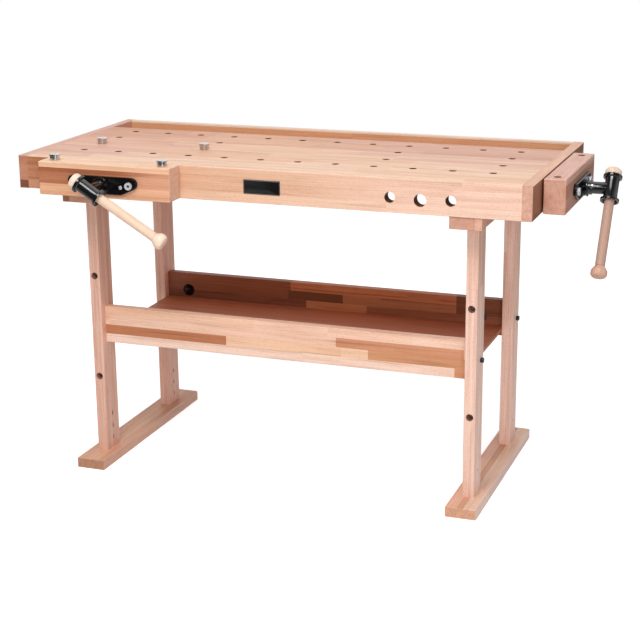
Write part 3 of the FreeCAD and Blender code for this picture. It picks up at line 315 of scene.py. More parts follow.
# ---- metal and paint
def cast_iron(name, colour, shine=0.7):
    """Sand-cast iron under black gloss enamel: a slightly wavy skin with long highlights.

    shine is how strong the highlights are.
    """
    material, tree = new_material(name)
    point = add(tree, "TexCoord").outputs["Object"]
    # sand grain 1.6 mm apart, softened by the paint
    skin = add(tree, "TexNoise", {"Vector": point, "Scale": 620.0, "Detail": 2.0}).outputs["Fac"]
    # sags of the paint 9 mm apart
    sags = add(tree, "TexNoise", {"Vector": point, "Scale": 110.0, "Detail": 1.0}).outputs["Fac"]
    height = add(tree, "Math", {0: sags, 1: 2.0, 2: skin}, operation="MULTIPLY_ADD").outputs[0]
    bump = add(tree, "Bump", {"Strength": 0.07, "Distance": 0.0004, "Height": height}).outputs[0]
    gloss = add(tree, "MapRange", {0: sags, 3: 0.11, 4: 0.21}).outputs[0]
    tone = add(tree, "Mix", {0: skin, 6: (*colour, 1.0), 7: (*[c * 1.7 for c in colour], 1.0)},
               data_type="RGBA").outputs[2]
    finish_material(tree, {"Base Color": tone, "Roughness": gloss, "Normal": bump,
                           "Specular IOR Level": shine})
    return material


def steel(name, colour, roughness, tooth, axis_at=None, socket=0.0, bare=1.0):
    """Turned or drawn steel: fine tool marks, tooth apart, break its reflections into bands.

    axis_at is the frame in which the marks run round Z.  socket is the radius of a near-black disc,
    painted shade in the wrench sockets on the axes of the two rods.  bare is the share of bare
    metal in the surface; the rest is a pale diffuse skin, partly passivated zinc and partly painted
    highlight.
    """
    material, tree = new_material(name)
    point = add(tree, "TexCoord").outputs["Object"]
    if axis_at:
        location, turn = axis_at
        point = add(tree, "Mapping", {"Vector": point, "Location": location, "Rotation": turn},
                    vector_type="TEXTURE").outputs[0]
    marks = add(tree, "TexWave", {"Vector": point, "Scale": BAND / tooth, "Distortion": 1.5,
                                  "Detail": 2.0},
                wave_type="BANDS", bands_direction="Z").outputs["Fac"]
    # handling marks 4 mm apart
    stains = add(tree, "TexNoise", {"Vector": point, "Scale": 250.0, "Detail": 3.0}).outputs["Fac"]
    bump = add(tree, "Bump", {"Strength": 0.12, "Distance": 0.0001, "Height": marks}).outputs[0]
    gloss = add(tree, "MapRange", {0: stains, 3: roughness - 0.06, 4: roughness + 0.12}).outputs[0]
    tone = add(tree, "Mix", {0: stains, 6: (*[c * 0.8 for c in colour], 1.0), 7: (*colour, 1.0)},
               data_type="RGBA").outputs[2]
    # a near-black disc on each rod bolt's head, painted shade in its wrench socket
    if socket:
        # the rods stand alike on either side of the screw
        across, up = ROD_PLACES[1]
        split = add(tree, "SeparateXYZ", {0: point}).outputs
        aside = add(tree, "Math", {0: split["X"]}, operation="ABSOLUTE").outputs[0]
        flat = add(tree, "CombineXYZ", {0: aside, 1: split["Y"]}).outputs[0]
        away = add(tree, "VectorMath", {0: flat, 1: (across, -up, 0)},
                   operation="DISTANCE").outputs["Value"]
        inside = add(tree, "Math", {0: away, 1: socket}, operation="LESS_THAN").outputs[0]
        tone = add(tree, "Mix", {0: inside, 6: tone, 7: (0.02, 0.02, 0.02, 1.0)},
                   data_type="RGBA").outputs[2]
    finish_material(tree, {"Base Color": tone, "Metallic": bare, "Roughness": gloss,
                           "Normal": bump})
    return material


# ---- meshes
def vise_matrix(vise, sleeve=False):
    """Takes a vise's frame, or its sleeve's leaning frame, to the bench."""
    facts = VISES[vise]
    turn = Matrix.Rotation(facts["spin"], 4, "Z")
    if not sleeve:
        return Matrix.Translation(facts["at"]) @ turn
    middle = facts["at"] + turn.to_3x3() @ Vector((0, -facts["face"] - SLEEVE_REACH, 0))
    return Matrix.Translation(middle) @ turn @ Matrix.Rotation(facts["lean"], 4, "Y")


def lathe_matrix(vise):
    """A vise's frame with Z running into the bench along the screw and Y down."""
    return vise_matrix(vise) @ Matrix.Rotation(math.radians(-90), 4, "X")


def texture_frame(matrix):
    """Location and rotation with which a Mapping node reads a piece in its own frame."""
    return tuple(matrix.to_translation()), tuple(matrix.to_euler())


def spun(mesh, outline, steps=64, centre=(0, 0)):
    """Turns an outline of (radius, height) points, which begins and ends on the axis, about Z."""
    x, y = centre
    points = [mesh.verts.new((x + radius, y, height)) for radius, height in outline]
    wire = [mesh.edges.new(pair) for pair in zip(points, points[1:])]
    bmesh.ops.spin(mesh, geom=points + wire, cent=(x, y, 0), axis=(0, 0, 1), dvec=(0, 0, 0),
                   angle=math.tau, steps=steps, use_merge=True, use_duplicate=False)
    bmesh.ops.remove_doubles(mesh, verts=mesh.verts, dist=1e-6)
    bmesh.ops.recalc_face_normals(mesh, faces=mesh.faces)


def new_piece(name, mesh, material, matrix=None):
    """A finished object at the origin, with its place in its mesh."""
    if matrix:
        bmesh.ops.transform(mesh, matrix=matrix, verts=mesh.verts)
    data = bpy.data.meshes.new(name)
    mesh.to_mesh(data)
    mesh.free()
    data.materials.append(material)
    data.shade_smooth()
    data.set_sharp_from_angle(angle=CREASE)
    piece = bpy.data.objects.new(name, data)
    bpy.context.scene.collection.objects.link(piece)
    return piece


def dressed_copy(node, name, material, edge, segments=2):
    """A merged, smooth copy of a sub-part, its edges broken by a bevel of the width edge."""
    mesh = bmesh.new()
    mesh.from_mesh(NODES[node].data)
    bmesh.ops.remove_doubles(mesh, verts=mesh.verts, dist=1e-6)
    piece = new_piece(name, mesh, material)
    if edge:
        softener = piece.modifiers.new("edges", "BEVEL")
        softener.width = edge
        softener.segments = segments
        softener.limit_method = "ANGLE"
        softener.angle_limit = CREASE
    return piece


def settle(piece, body, slot, *nodes):
    """The piece moves with a body and stands for sub-parts, which it hides; slot is not used."""
    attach(piece, body)
    if nodes:
        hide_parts(*nodes)


def paint(material, *nodes):
    """Gives sub-parts a material and leaves their meshes as they are."""
    for node in nodes:
        data = NODES[node].data
        if not data.materials:
            data.materials.append(material)
        for index in range(len(data.materials)):
            data.materials[index] = material


# ---- settings
class BenchSizes(bpy.types.PropertyGroup):
    """Sizes of the parts that are made here."""
    thread_pitch: FloatProperty(
        name="Thread pitch", description="Advance of a vise for one turn of its screw",
        default=0.006, unit="LENGTH")
    thread_root: FloatProperty(
        name="Thread root radius", description="Radius of a vise screw between its threads",
        default=0.0098, unit="LENGTH")
    screw_radius: FloatProperty(
        name="Screw radius", description="Radius of a vise screw", default=0.0125, unit="LENGTH")
    rod_radius: FloatProperty(
        name="Rod radius", description="Radius of a guide rod", default=0.010, unit="LENGTH")
    handle_radius: FloatProperty(
        name="Handle radius", description="Radius of a vise handle", default=0.012, unit="LENGTH")
    handle_length: FloatProperty(
        name="Handle length", description="Length of a handle between its knobs",
        default=0.227, unit="LENGTH")
    knob_radius: FloatProperty(
        name="Knob radius", description="Radius of a handle's knob", default=0.020, unit="LENGTH")
    knob_length: FloatProperty(
        name="Knob length", description="Length of a handle's knob", default=0.029, unit="LENGTH")
    plate_width: FloatProperty(
        name="Plate width", description="Width of the plate on the apron", default=0.0960,
        unit="LENGTH")
    plate_height: FloatProperty(
        name="Plate height", description="Height of the plate on the apron", default=0.0355,
        unit="LENGTH")


class BenchFinish(bpy.types.PropertyGroup):
    """Colours of the metal and of the studio."""
    enamel: FloatVectorProperty(
        name="Casting enamel", description="Black gloss enamel of the castings",
        subtype="COLOR", size=3, default=linear("070708"))
    zinc: FloatVectorProperty(
        name="Zinc", description="Bright zinc plating of bolts and screws",
        subtype="COLOR", size=3, default=linear("E2E4E8"))
    bright_steel: FloatVectorProperty(
        name="Bright steel", description="Turned steel of dogs, rods and rings",
        subtype="COLOR", size=3, default=linear("CFCFD0"))
    black_oxide: FloatVectorProperty(
        name="Black oxide", description="Blackened steel of the shelf bolts",
        subtype="COLOR", size=3, default=linear("4A4A4D"))
    floor: FloatVectorProperty(
        name="Floor", description="Colour of the studio floor",
        subtype="COLOR", size=3, default=linear("E6E6E6"))


# ---- bench top
class WORKBENCH_OT_top(bpy.types.Operator):
    """Finish the slab, apron, caps, rails and tool well"""
    bl_idname = "workbench.top"
    bl_label = "Bench top"

    def execute(self, context):
        laid = [(EDGE, "EEC6B0", 180, "F8DCC4", 900, "F5D3B6"),
                (78, "ECC3AE", 250, "F5D1B6", 700, "F8DAC2"),
                (126, "EAC0AC", 320, "F1C9AC", 760, "F4D1B6", 1080, "F6D7C0"),
                (174, "EBC0AB", 210, "EDC3A5", 620, "F2CDB0", 1000, "F5D4BC"),
                (222, "E9BDA8", 400, "F3CDB2", 940, "F0CBB6"),
                (270, "EDC2A8", 300, "F6D1B6", 830, "EEC9B4"),
                (318, "E3B297", 260, "EABD9E", 680, "E3B7A0", 980, "DCAE97"),
                (366, "E0AE92", 350, "E8BA9C", 870, "E2B7A2"),
                (414, "DDAA8A", 280, "E5B598", 720, "E4B8A2")]
        paint(beech("beech_slab_oiled", "x", "y", (0.048, 0.62), ("EBC0A0",), rows=laid,
                    node="top_slab", seed=3.0, figure=1.5, veins=0.4), "top_slab")
        # the top row makes the top face and the rounded top arris light: partly the top's own tone,
        # partly a painted highlight along the edge
        laid = [(EDGE, "CC9774", 91, "CC9774", 92, "E8BE9E", 600, "ECC5AA", 1380, "F6DAC9"),
                (790, "C68C68", 91, "C68C68", 92, "DCAE8A", 600, "E4B89A", 1380, "F4D4C4"),
                (826, "BA7E5C", 91, "BA7E5C", 92, "DFB18F", 600, "E6BC9F", 1380, "F3D2C0"),
                (848, "F3D2B6")]
        paint(beech("beech_apron_oiled", "x", "z", (0.0425, 0.9), ("EBB894",), rows=laid,
                    blend="EASE", node="front_apron", seed=0.5, figure=1.1, veins=0.3),
              "front_apron")
        laid = [(EDGE, "8E5440", 40, "DBAA92"), (786, "CE977C", 40, "DEAE98"),
                (826, "C48C70", 40, "DEAE98"), (848, "DDB3A2")]
        paint(beech("beech_cap_left_oiled", "y", "z", (0.04, 0.7), ("D99E78",), rows=laid, seed=8.0,
                    end_shade=0.3), "end_cap_left")
        # the cap's sides are dark brown, partly a darker stave and partly painted shadow of the
        # tail jaw on its outer face; its top and end grain stay light
        laid = [(EDGE, "9C6A50"), (848, "EBC0A4")]
        paint(beech("beech_cap_right_oiled", "y", "z", (0.04, 0.7), ("9C6A50",), rows=laid,
                    seed=8.4, figure=1.3, end_shade=0.0, end_tone="DAAF9C"), "end_cap_right")
        # the rail's faces below its top are darker and more orange than the top, as painted shade
        # where it stands over the tool well
        laid = [(EDGE, "DDAA82"), (846, "F2DCC8")]
        paint(beech("beech_back_rail_oiled", "x", "z", (0.05, 0.8), ("DDAA82",), rows=laid,
                    seed=5.0), "back_rail")
        paint(beech("beech_mid_rail_oiled", "x", "z", (0.05, 0.8), ("E4B99C",), seed=5.5),
              "mid_rail")
        laid = [(EDGE, "C87E4C", 200, "DFA074", 640, "DFA27C", 1200, "D6977A")]
        paint(beech("beech_well_board", "x", "y", (0.06, 0.7), ("D89C72",), rows=laid,
                    blend="LINEAR", seed=6.0), "well_floor")
        return {"FINISHED"}


# ---- trestles and shelf
class WORKBENCH_OT_trestles(bpy.types.Operator):
    """Finish the feet, bearers and uprights"""
    bl_idname = "workbench.trestles"
    bl_label = "Trestles"

    def execute(self, context):
        feet = {"left": [(EDGE, "DFB092"), (148, "E8BC9E"), (182, "DFB094"), (198, "E2B8A0")],
                "right": [(EDGE, "FACDB4"), (1180, "E2AC8C"), (1197, "FCDCC6"), (1228, "F2D4C8")]}
        bearers = {"left": [(EDGE, "B07A5C"), (140, "D9AE98")],
                   "right": [(EDGE, "D8AA96"), (1213, "E8BDA8")]}
        end_tones = {"left": "BE9276", "right": "E0B294"}
        for side in ("left", "right"):
            paint(beech(f"beech_foot_{side}", "y", "x", (0.0267, 2.0), ("E9BA96",), rows=feet[side],
                        seed=2.0, figure=1.2, veins=0.35, end_shade=0.2,
                        end_tone=end_tones[side]), f"foot_{side}")
            paint(beech(f"beech_bearer_{side}", "y", "x", (0.0267, 2.0), ("E9BA96",),
                        rows=bearers[side], seed=2.6, end_shade=0.3), f"bearer_{side}")
        uprights = {"front_left": ("E2B6A4", "F4D2C2"), "front_right": ("F8DACC", "F0CFC0"),
                    "rear_left": ("F2C6B4", "F6D0C0"), "rear_right": ("FFE0D2", "FFDACB")}
        for number, (post, palette) in enumerate(uprights.items()):
            low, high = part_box(f"upright_{post}")
            inner_side = -1 if post.endswith("right") else 1
            # the middle pilot hole is 90 mm up, and its neighbours are 35 mm from it
            pilots = ((low[1] + high[1]) / 2, 0.090, 0.035, inner_side)
            paint(beech(f"beech_upright_{post}", "z", "x", (0.0152, 1.7), palette,
                        node=f"upright_{post}", seed=4.4 + number, figure=1.3, veins=0.35,
                        bores=0.45, torn=pilots), f"upright_{post}")
        return {"FINISHED"}


class WORKBENCH_OT_tray(bpy.types.Operator):
    """Finish the tray shelf's boards and floor"""
    bl_idname = "workbench.tray"
    bl_label = "Tray shelf"

    def execute(self, context):
        # rows of glued staves from the board's lower edge up, with their butt joints
        laid = [(EDGE, "F6DACA", 1142, "D59A74"),
                (357, "C07E56", 519, "F2CBAC", 916, "D2986F"),
                (382, "F4D0BA", 831, "D59A76", 1167, "F2CAB2"),
                (407, "F2CAB0", 600, "F4CFB8", 1027, "F6D5C2")]
        paint(beech("beech_shelf_front", "x", "z", (0.025, 0.8), ("F0C6A6",), rows=laid,
                    node="shelf_front_board", seed=1.7, figure=1.1, veins=0.45),
              "shelf_front_board")
        # the back board is much darker than the front board, and darker again from 1036 mm on:
        # partly darker staves, partly painted shade of the tray under the bench top
        laid = [(EDGE, "8A5238", 600, "CC8559", 780, "A26243"),
                (382, "985A3A", 547, "7A4829", 711, "BA7850", 1036, "834E32"),
                (407, "A0603F", 553, "D08459", 1036, "8B5234")]
        paint(beech("beech_shelf_back", "x", "z", (0.025, 0.42), ("A9683F",), rows=laid,
                    node="shelf_back_board", seed=2.6, figure=1.3, veins=0.85), "shelf_back_board")
        # the floor is darker than the front board and darkens towards the right: partly its own
        # tone, partly painted shade of the tray under the bench top
        laid = [(EDGE, "D08962", 700, "CA805E", 1100, "C27858")]
        paint(beech("beech_tray_floor", "x", "y", (0.06, 1.2), ("C58257",), rows=laid,
                    blend="LINEAR", seed=9.1, figure=1.3, veins=0.4), "shelf_floor")
        return {"FINISHED"}


# ---- vises
class WORKBENCH_OT_jaws(bpy.types.Operator):
    """Finish the two vise jaws"""
    bl_idname = "workbench.jaws"
    bl_label = "Vise jaws"

    def execute(self, context):
        # staves from the bottom up: the dark middle stave is darker towards the left as painted
        # shadow of the face plate, sleeve and handle, and darkest just below the top stave as
        # painted shade
        # the top row is light partly as a painted highlight on the rounded top arris
        laid = [(EDGE, "E8B48F", 460, "EBBB9A"),
                (795, "AE6F4B", 300, "C4835E", 400, "DEA586"),
                (825, "8F5438", 300, "B06C48", 440, "D89F80"),
                (836, "F0C4A0", 460, "F2C8A8"), (848, "F6D3B6", 460, "F6D3B6")]
        paint(beech("beech_front_jaw", "x", "z", (0.038, 2.0), ("EEBE9A",), rows=laid,
                    blend="EASE", node="front_jaw", seed=6.3, figure=1.2, veins=0.35,
                    end_shade=0.0, end_tone="E6C0AA"), "front_jaw")
        laid = [(EDGE, "CDA092"), (800, "C2917B"), (836, "E2B9AA")]
        paint(beech("beech_tail_jaw", "y", "z", (0.03, 2.0), ("E8B9A0",), rows=laid,
                    node="tail_jaw", seed=7.9, figure=1.3, veins=0.35, end_shade=0.0,
                    end_tone="D3A592"), "tail_jaw")
        return {"FINISHED"}


class WORKBENCH_OT_castings(bpy.types.Operator):
    """Make the vises' face plates, handle sleeves and nut brackets"""
    bl_idname = "workbench.castings"
    bl_label = "Castings"

    def execute(self, context):
        black = context.scene.bench_finish.enamel
        enamel = cast_iron("iron_cast_black_enamel", black)
        dull_enamel = cast_iron("iron_cast_plate_enamel", black, shine=0.25)
        for vise in VISES:
            settle(dressed_copy(f"{vise}_faceplate", f"{vise}_plate_casting", dull_enamel, 0.0006),
                   f"{vise}_jaw", "black_casting", f"{vise}_faceplate")
            settle(dressed_copy(f"{vise}_sleeve", f"{vise}_sleeve_casting", enamel, 0.0008),
                   f"{vise}_screw", "black_casting", f"{vise}_sleeve")
            settle(dressed_copy(f"{vise}_nut_bracket", f"{vise}_bracket_casting", enamel, 0.0),
                   "bench", "black_casting", f"{vise}_nut_bracket")
        return {"FINISHED"}


class WORKBENCH_OT_screws(bpy.types.Operator):
    """Make the vises' lead screws, guide rods and rings"""
    bl_idname = "workbench.screws"
    bl_label = "Lead screws and rods"

    def execute(self, context):
        sizes = context.scene.bench_sizes
        finish = context.scene.bench_finish
        enamel = cast_iron("iron_turned_black_enamel", finish.enamel)
        for vise, facts in VISES.items():
            lathe = lathe_matrix(vise)
            screw_steel = steel(f"steel_{vise}_screw_turned", finish.bright_steel, 0.30, 0.0008,
                                texture_frame(lathe))
            rod_steel = steel(f"steel_{vise}_rod_drawn", finish.bright_steel, 0.22, 0.0005,
                              texture_frame(lathe))
            face = -facts["face"]
            collar = face - PLATE - BOSS - PLAY - THRUST_RING
            # the stub that the sleeve is pinned on, the plain journal and the thread's core
            mesh = bmesh.new()
            stub_radius = 0.008
            stub_end = collar - 0.022
            spun(mesh, [(0, stub_end), (stub_radius, stub_end), (stub_radius, collar),
                        (sizes.screw_radius, collar), (sizes.screw_radius, 0.0),
                        (sizes.thread_root, 0.003), (sizes.thread_root, SCREW_END),
                        (0, SCREW_END)], 48)
            self.add_thread(mesh, sizes, start=0.001, turns=39)
            settle(new_piece(f"{vise}_lead_screw", mesh, screw_steel, lathe),
                   f"{vise}_screw", "screw_steel", f"{vise}_screw")
            mesh = bmesh.new()
            ring_radius = 0.0225
            ease = 0.0007
            ring_back = collar + THRUST_RING
            spun(mesh, [(0, collar), (ring_radius - ease, collar), (ring_radius, collar + ease),
                        (ring_radius, ring_back - ease), (ring_radius - ease, ring_back),
                        (0, ring_back)], 72)
            settle(new_piece(f"{vise}_thrust_collar", mesh, enamel, lathe),
                   f"{vise}_screw", "black_casting", f"{vise}_thrust_ring")
            mesh = bmesh.new()
            point = 0.0015
            for across, up in ROD_PLACES:
                spun(mesh, [(0, face), (sizes.rod_radius, face),
                            (sizes.rod_radius, ROD_END - point),
                            (sizes.rod_radius - point, ROD_END), (0, ROD_END)],
                     48, centre=(across, -up))
            settle(new_piece(f"{vise}_drawn_rods", mesh, rod_steel, lathe),
                   f"{vise}_jaw", "rod_steel", f"{vise}_guide_rods")
            paint(screw_steel, f"{vise}_retaining_ring", f"{vise}_sleeve_pin")
        return {"FINISHED"}

    def add_thread(self, mesh, sizes, start, turns):
        """A square thread with sloping flanks, wound round the screw's core."""
        pitch = sizes.thread_pitch
        steps = 18  # in each turn
        inner = sizes.thread_root - 0.0005
        # radius and height in pitches of the ridge's four corners
        outline = ((inner, 0.0), (sizes.screw_radius, 0.12), (sizes.screw_radius, 0.46),
                   (inner, 0.58))
        corners = [mesh.verts.new((radius, 0, start + height * pitch))
                   for radius, height in outline]
        section = mesh.faces.new(corners)
        bmesh.ops.spin(mesh, geom=[section], cent=(0, 0, 0), axis=(0, 0, 1),
                       dvec=(0, 0, pitch / steps), angle=math.tau * turns, steps=steps * turns,
                       use_merge=False, use_duplicate=True)
        bmesh.ops.recalc_face_normals(mesh, faces=mesh.faces)


class WORKBENCH_OT_handles(bpy.types.Operator):
    """Turn the vise handles and their knobs"""
    bl_idname = "workbench.handles"
    bl_label = "Handles"

    def execute(self, context):
        sizes = context.scene.bench_sizes
        # the shaft's ends from the sleeve's middle, with the upper knob in the sleeve's mouth
        upper = 0.024
        lower = upper - sizes.handle_length
        radius = sizes.handle_radius
        ease = 0.0006
        # the shaft's tone and those of its upper and its lower knob; the upper knobs are lighter
        # than the lower ones partly as painted light from above, and the tail's handle is darker
        # than the front's partly as painted shade
        tones = {"front": ("F1DAC4", "FBE9D8", "F6E0CC"), "tail": ("BFA092", "EDD8C4", "D2AC96")}
        for vise, (shaft_tone, *knob_tones) in tones.items():
            place = vise_matrix(vise, sleeve=True)
            mesh = bmesh.new()
            spun(mesh, [(0, lower), (radius - ease, lower), (radius, lower + ease),
                        (radius, upper - ease), (radius - ease, upper), (0, upper)])
            wood = self.turned_beech(f"beech_{vise}_handle_turned", place, shaft_tone, 2.2)
            settle(new_piece(f"{vise}_handle_shaft", mesh, wood, place),
                   f"{vise}_handle", "handle_beech", f"{vise}_handle")
            ends = (("upper", upper, 1), ("lower", lower, -1))
            for (end, start, way), tone in zip(ends, knob_tones):
                wood = self.turned_beech(f"beech_{vise}_knob_{end}_turned", place, tone, 3.1)
                mesh = bmesh.new()
                self.turn_knob(mesh, sizes, start, way)
                settle(new_piece(f"{vise}_turned_knob_{end}", mesh, wood, place),
                       f"{vise}_handle", "handle_beech", f"{vise}_knob_{end}")
        return {"FINISHED"}

    def turned_beech(self, name, place, tone, seed):
        """Beech of one stave that is larger than the turned part."""
        return beech(name, "z", "x", (0.09, 3.0), (tone,), frame_at=texture_frame(place),
                     seed=seed, figure=0.9, end_shade=0.2, roughness=0.5)

    def turn_knob(self, mesh, sizes, start, way):
        """A knob with a cone that grows from the shaft and a rounded end."""
        radius = sizes.knob_radius
        cone = 0.012
        rounding = 0.009
        side_end = sizes.knob_length - rounding
        outline = [(0, 0), (sizes.handle_radius, 0), (radius, cone), (radius, side_end)]
        for step in range(1, 7):
            turn = math.radians(15 * step)
            outline.append((radius - rounding + rounding * math.cos(turn),
                            side_end + rounding * math.sin(turn)))
        outline.append((0, sizes.knob_length))
        spun(mesh, [(r, start + way * height) for r, height in outline])
        # its edges are rounded, but not the soft ones between the cone's and the end's faces
        softest = math.radians(25)
        edges = [edge for edge in mesh.edges if edge.calc_face_angle(0.0) > softest]
        bmesh.ops.bevel(mesh, geom=edges, offset=0.0012, offset_type="OFFSET", affect="EDGES",
                        segments=3, profile=0.5, material=-1, clamp_overlap=True)


# ---- dogs and fasteners
class WORKBENCH_OT_dogs(bpy.types.Operator):
    """Turn the four round bench dogs"""
    bl_idname = "workbench.dogs"
    bl_label = "Bench dogs"

    def execute(self, context):
        for dog in DOGS:
            low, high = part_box(dog)
            top = Vector(((low[0] + high[0]) / 2, (low[1] + high[1]) / 2, high[2]))
            place = Matrix.Translation(top)
            metal = steel(f"steel_{dog}_turned", context.scene.bench_finish.bright_steel, 0.13,
                          0.0006, texture_frame(place))
            mesh = bmesh.new()
            # heights from the dog's top: shank with a point, drum, rim, hollow in the top
            bottom = low[2] - high[2]
            shank, drum, rim = 0.0095, 0.0125, 0.0140
            drum_bottom, rim_bottom = -0.0147, -0.004
            point, ease, bevel = 0.002, 0.0004, 0.0008
            spun(mesh, [(0, bottom), (shank - point, bottom), (shank, bottom + point),
                        (shank, drum_bottom), (drum - ease, drum_bottom),
                        (drum, drum_bottom + ease), (drum, rim_bottom), (rim - ease, rim_bottom),
                        (rim, rim_bottom + ease), (rim, -bevel), (rim - bevel, 0),
                        (0.0045, 0), (0.0035, -bevel), (0, -bevel)])
            settle(new_piece(f"{dog}_turned", mesh, metal, place), dog, "dog_steel", dog)
        return {"FINISHED"}


class WORKBENCH_OT_fasteners(bpy.types.Operator):
    """Finish the bolts, screws, washers and nuts"""
    bl_idname = "workbench.fasteners"
    bl_label = "Fasteners"

    def execute(self, context):
        finish = context.scene.bench_finish
        # bright zinc with a pale diffuse skin, partly passivated zinc and partly painted highlight
        # on the heads
        zinc = steel("steel_zinc_plated", finish.zinc, 0.42, 0.0007, bare=0.6)
        black = steel("steel_black_oxide", finish.black_oxide, 0.34, 0.0007)
        # nuts and half-moon washers: duller zinc, painted dark grey as painted shade of the pockets
        # they sit in
        zinc_in_pocket_shade = steel("steel_zinc_pocket_shade", linear("6E6C6B"), 0.50, 0.0007)
        for vise in VISES:
            # rod bolts: heads paler than bare zinc partly as painted highlight, with painted shade
            # in their sockets
            heads = steel(f"steel_{vise}_rod_bolts_zinc", finish.zinc, 0.50, 0.0007,
                          texture_frame(lathe_matrix(vise)), socket=0.0036, bare=0.45)
            settle(dressed_copy(f"{vise}_rod_bolts", f"{vise}_socket_bolts", heads, 0.0010, 3),
                   f"{vise}_jaw", "zinc_fasteners", f"{vise}_rod_bolts")
            settle(dressed_copy(f"{vise}_plate_screws", f"{vise}_plate_wood_screws", zinc, 0.0003),
                   f"{vise}_jaw", "zinc_fasteners", f"{vise}_plate_screws")
            paint(zinc, f"{vise}_bracket_screws")
        settle(dressed_copy("shelf_bolts", "shelf_socket_bolts", black, 0.0004),
               "bench", "black_fasteners", "shelf_bolts")
        paint(zinc, "bearer_screws", "shelf_bolt_washers")
        paint(zinc_in_pocket_shade, "shelf_half_moon_washers", "shelf_nuts")
        return {"FINISHED"}


# ---- plate
class WORKBENCH_OT_plate(bpy.types.Operator):
    """Make the bare plate on the apron"""
    bl_idname = "workbench.plate"
    bl_label = "Plate"

    def execute(self, context):
        sizes = context.scene.bench_sizes
        thickness, corner, border, rim_width = 0.0010, 0.0022, 0.0008, 0.0012
        mesh = bmesh.new()
        bmesh.ops.create_grid(mesh, x_segments=1, y_segments=1, size=0.5)
        outline = Matrix.Diagonal((sizes.plate_width, sizes.plate_height, 1, 1))
        bmesh.ops.transform(mesh, matrix=outline, verts=mesh.verts)
        bmesh.ops.bevel(mesh, geom=list(mesh.verts), offset=corner, offset_type="OFFSET",
                        affect="VERTICES", segments=5, profile=0.5, material=-1)
        grown = bmesh.ops.extrude_face_region(mesh, geom=list(mesh.faces))
        top = [part for part in grown["geom"] if isinstance(part, bmesh.types.BMFace)][0]
        bmesh.ops.translate(mesh, vec=(0, 0, thickness), verts=top.verts)
        bmesh.ops.recalc_face_normals(mesh, faces=mesh.faces)
        bmesh.ops.inset_region(mesh, faces=[top], thickness=border, depth=0)
        rim = bmesh.ops.inset_region(mesh, faces=[top], thickness=rim_width, depth=0)["faces"]
        # the field inside the rim is pressed in a little
        bmesh.ops.inset_region(mesh, faces=[top], thickness=0.0003, depth=-0.0002)
        for face in rim:
            face.material_index = 1
        middle = CORNER + Vector((0.6775, 0, 0.8057))
        place = Matrix.Translation(middle) @ Matrix.Rotation(math.radians(90), 4, "X")
        plate = new_piece("apron_plate", mesh, self.enamelled(), place)
        plate.data.materials.append(steel("aluminium_rim_rolled", linear("B4B4B6"), 0.35, 0.0007))
        settle(plate, "bench", "black_fasteners")
        return {"FINISHED"}

    def enamelled(self):
        """Pressed aluminium plate under baked enamel: smooth black inside a bright rim."""
        material, tree = new_material("aluminium_plate_enamelled")
        point = add(tree, "TexCoord").outputs["Object"]
        # rolling marks of the sheet 1 mm apart
        marks = add(tree, "TexNoise", {"Vector": point, "Scale": 900.0, "Detail": 2.0}
                    ).outputs["Fac"]
        gloss = add(tree, "MapRange", {0: marks, 3: 0.30, 4: 0.42}).outputs[0]
        tone = add(tree, "Mix", {0: marks, 6: (*linear("070708"), 1), 7: (*linear("0E0E0F"), 1)},
                   data_type="RGBA").outputs[2]
        bump = add(tree, "Bump", {"Strength": 0.05, "Distance": 0.0002, "Height": marks}).outputs[0]
        finish_material(tree, {"Base Color": tone, "Roughness": gloss, "Normal": bump,
                               "Specular IOR Level": 0.2})
        return material


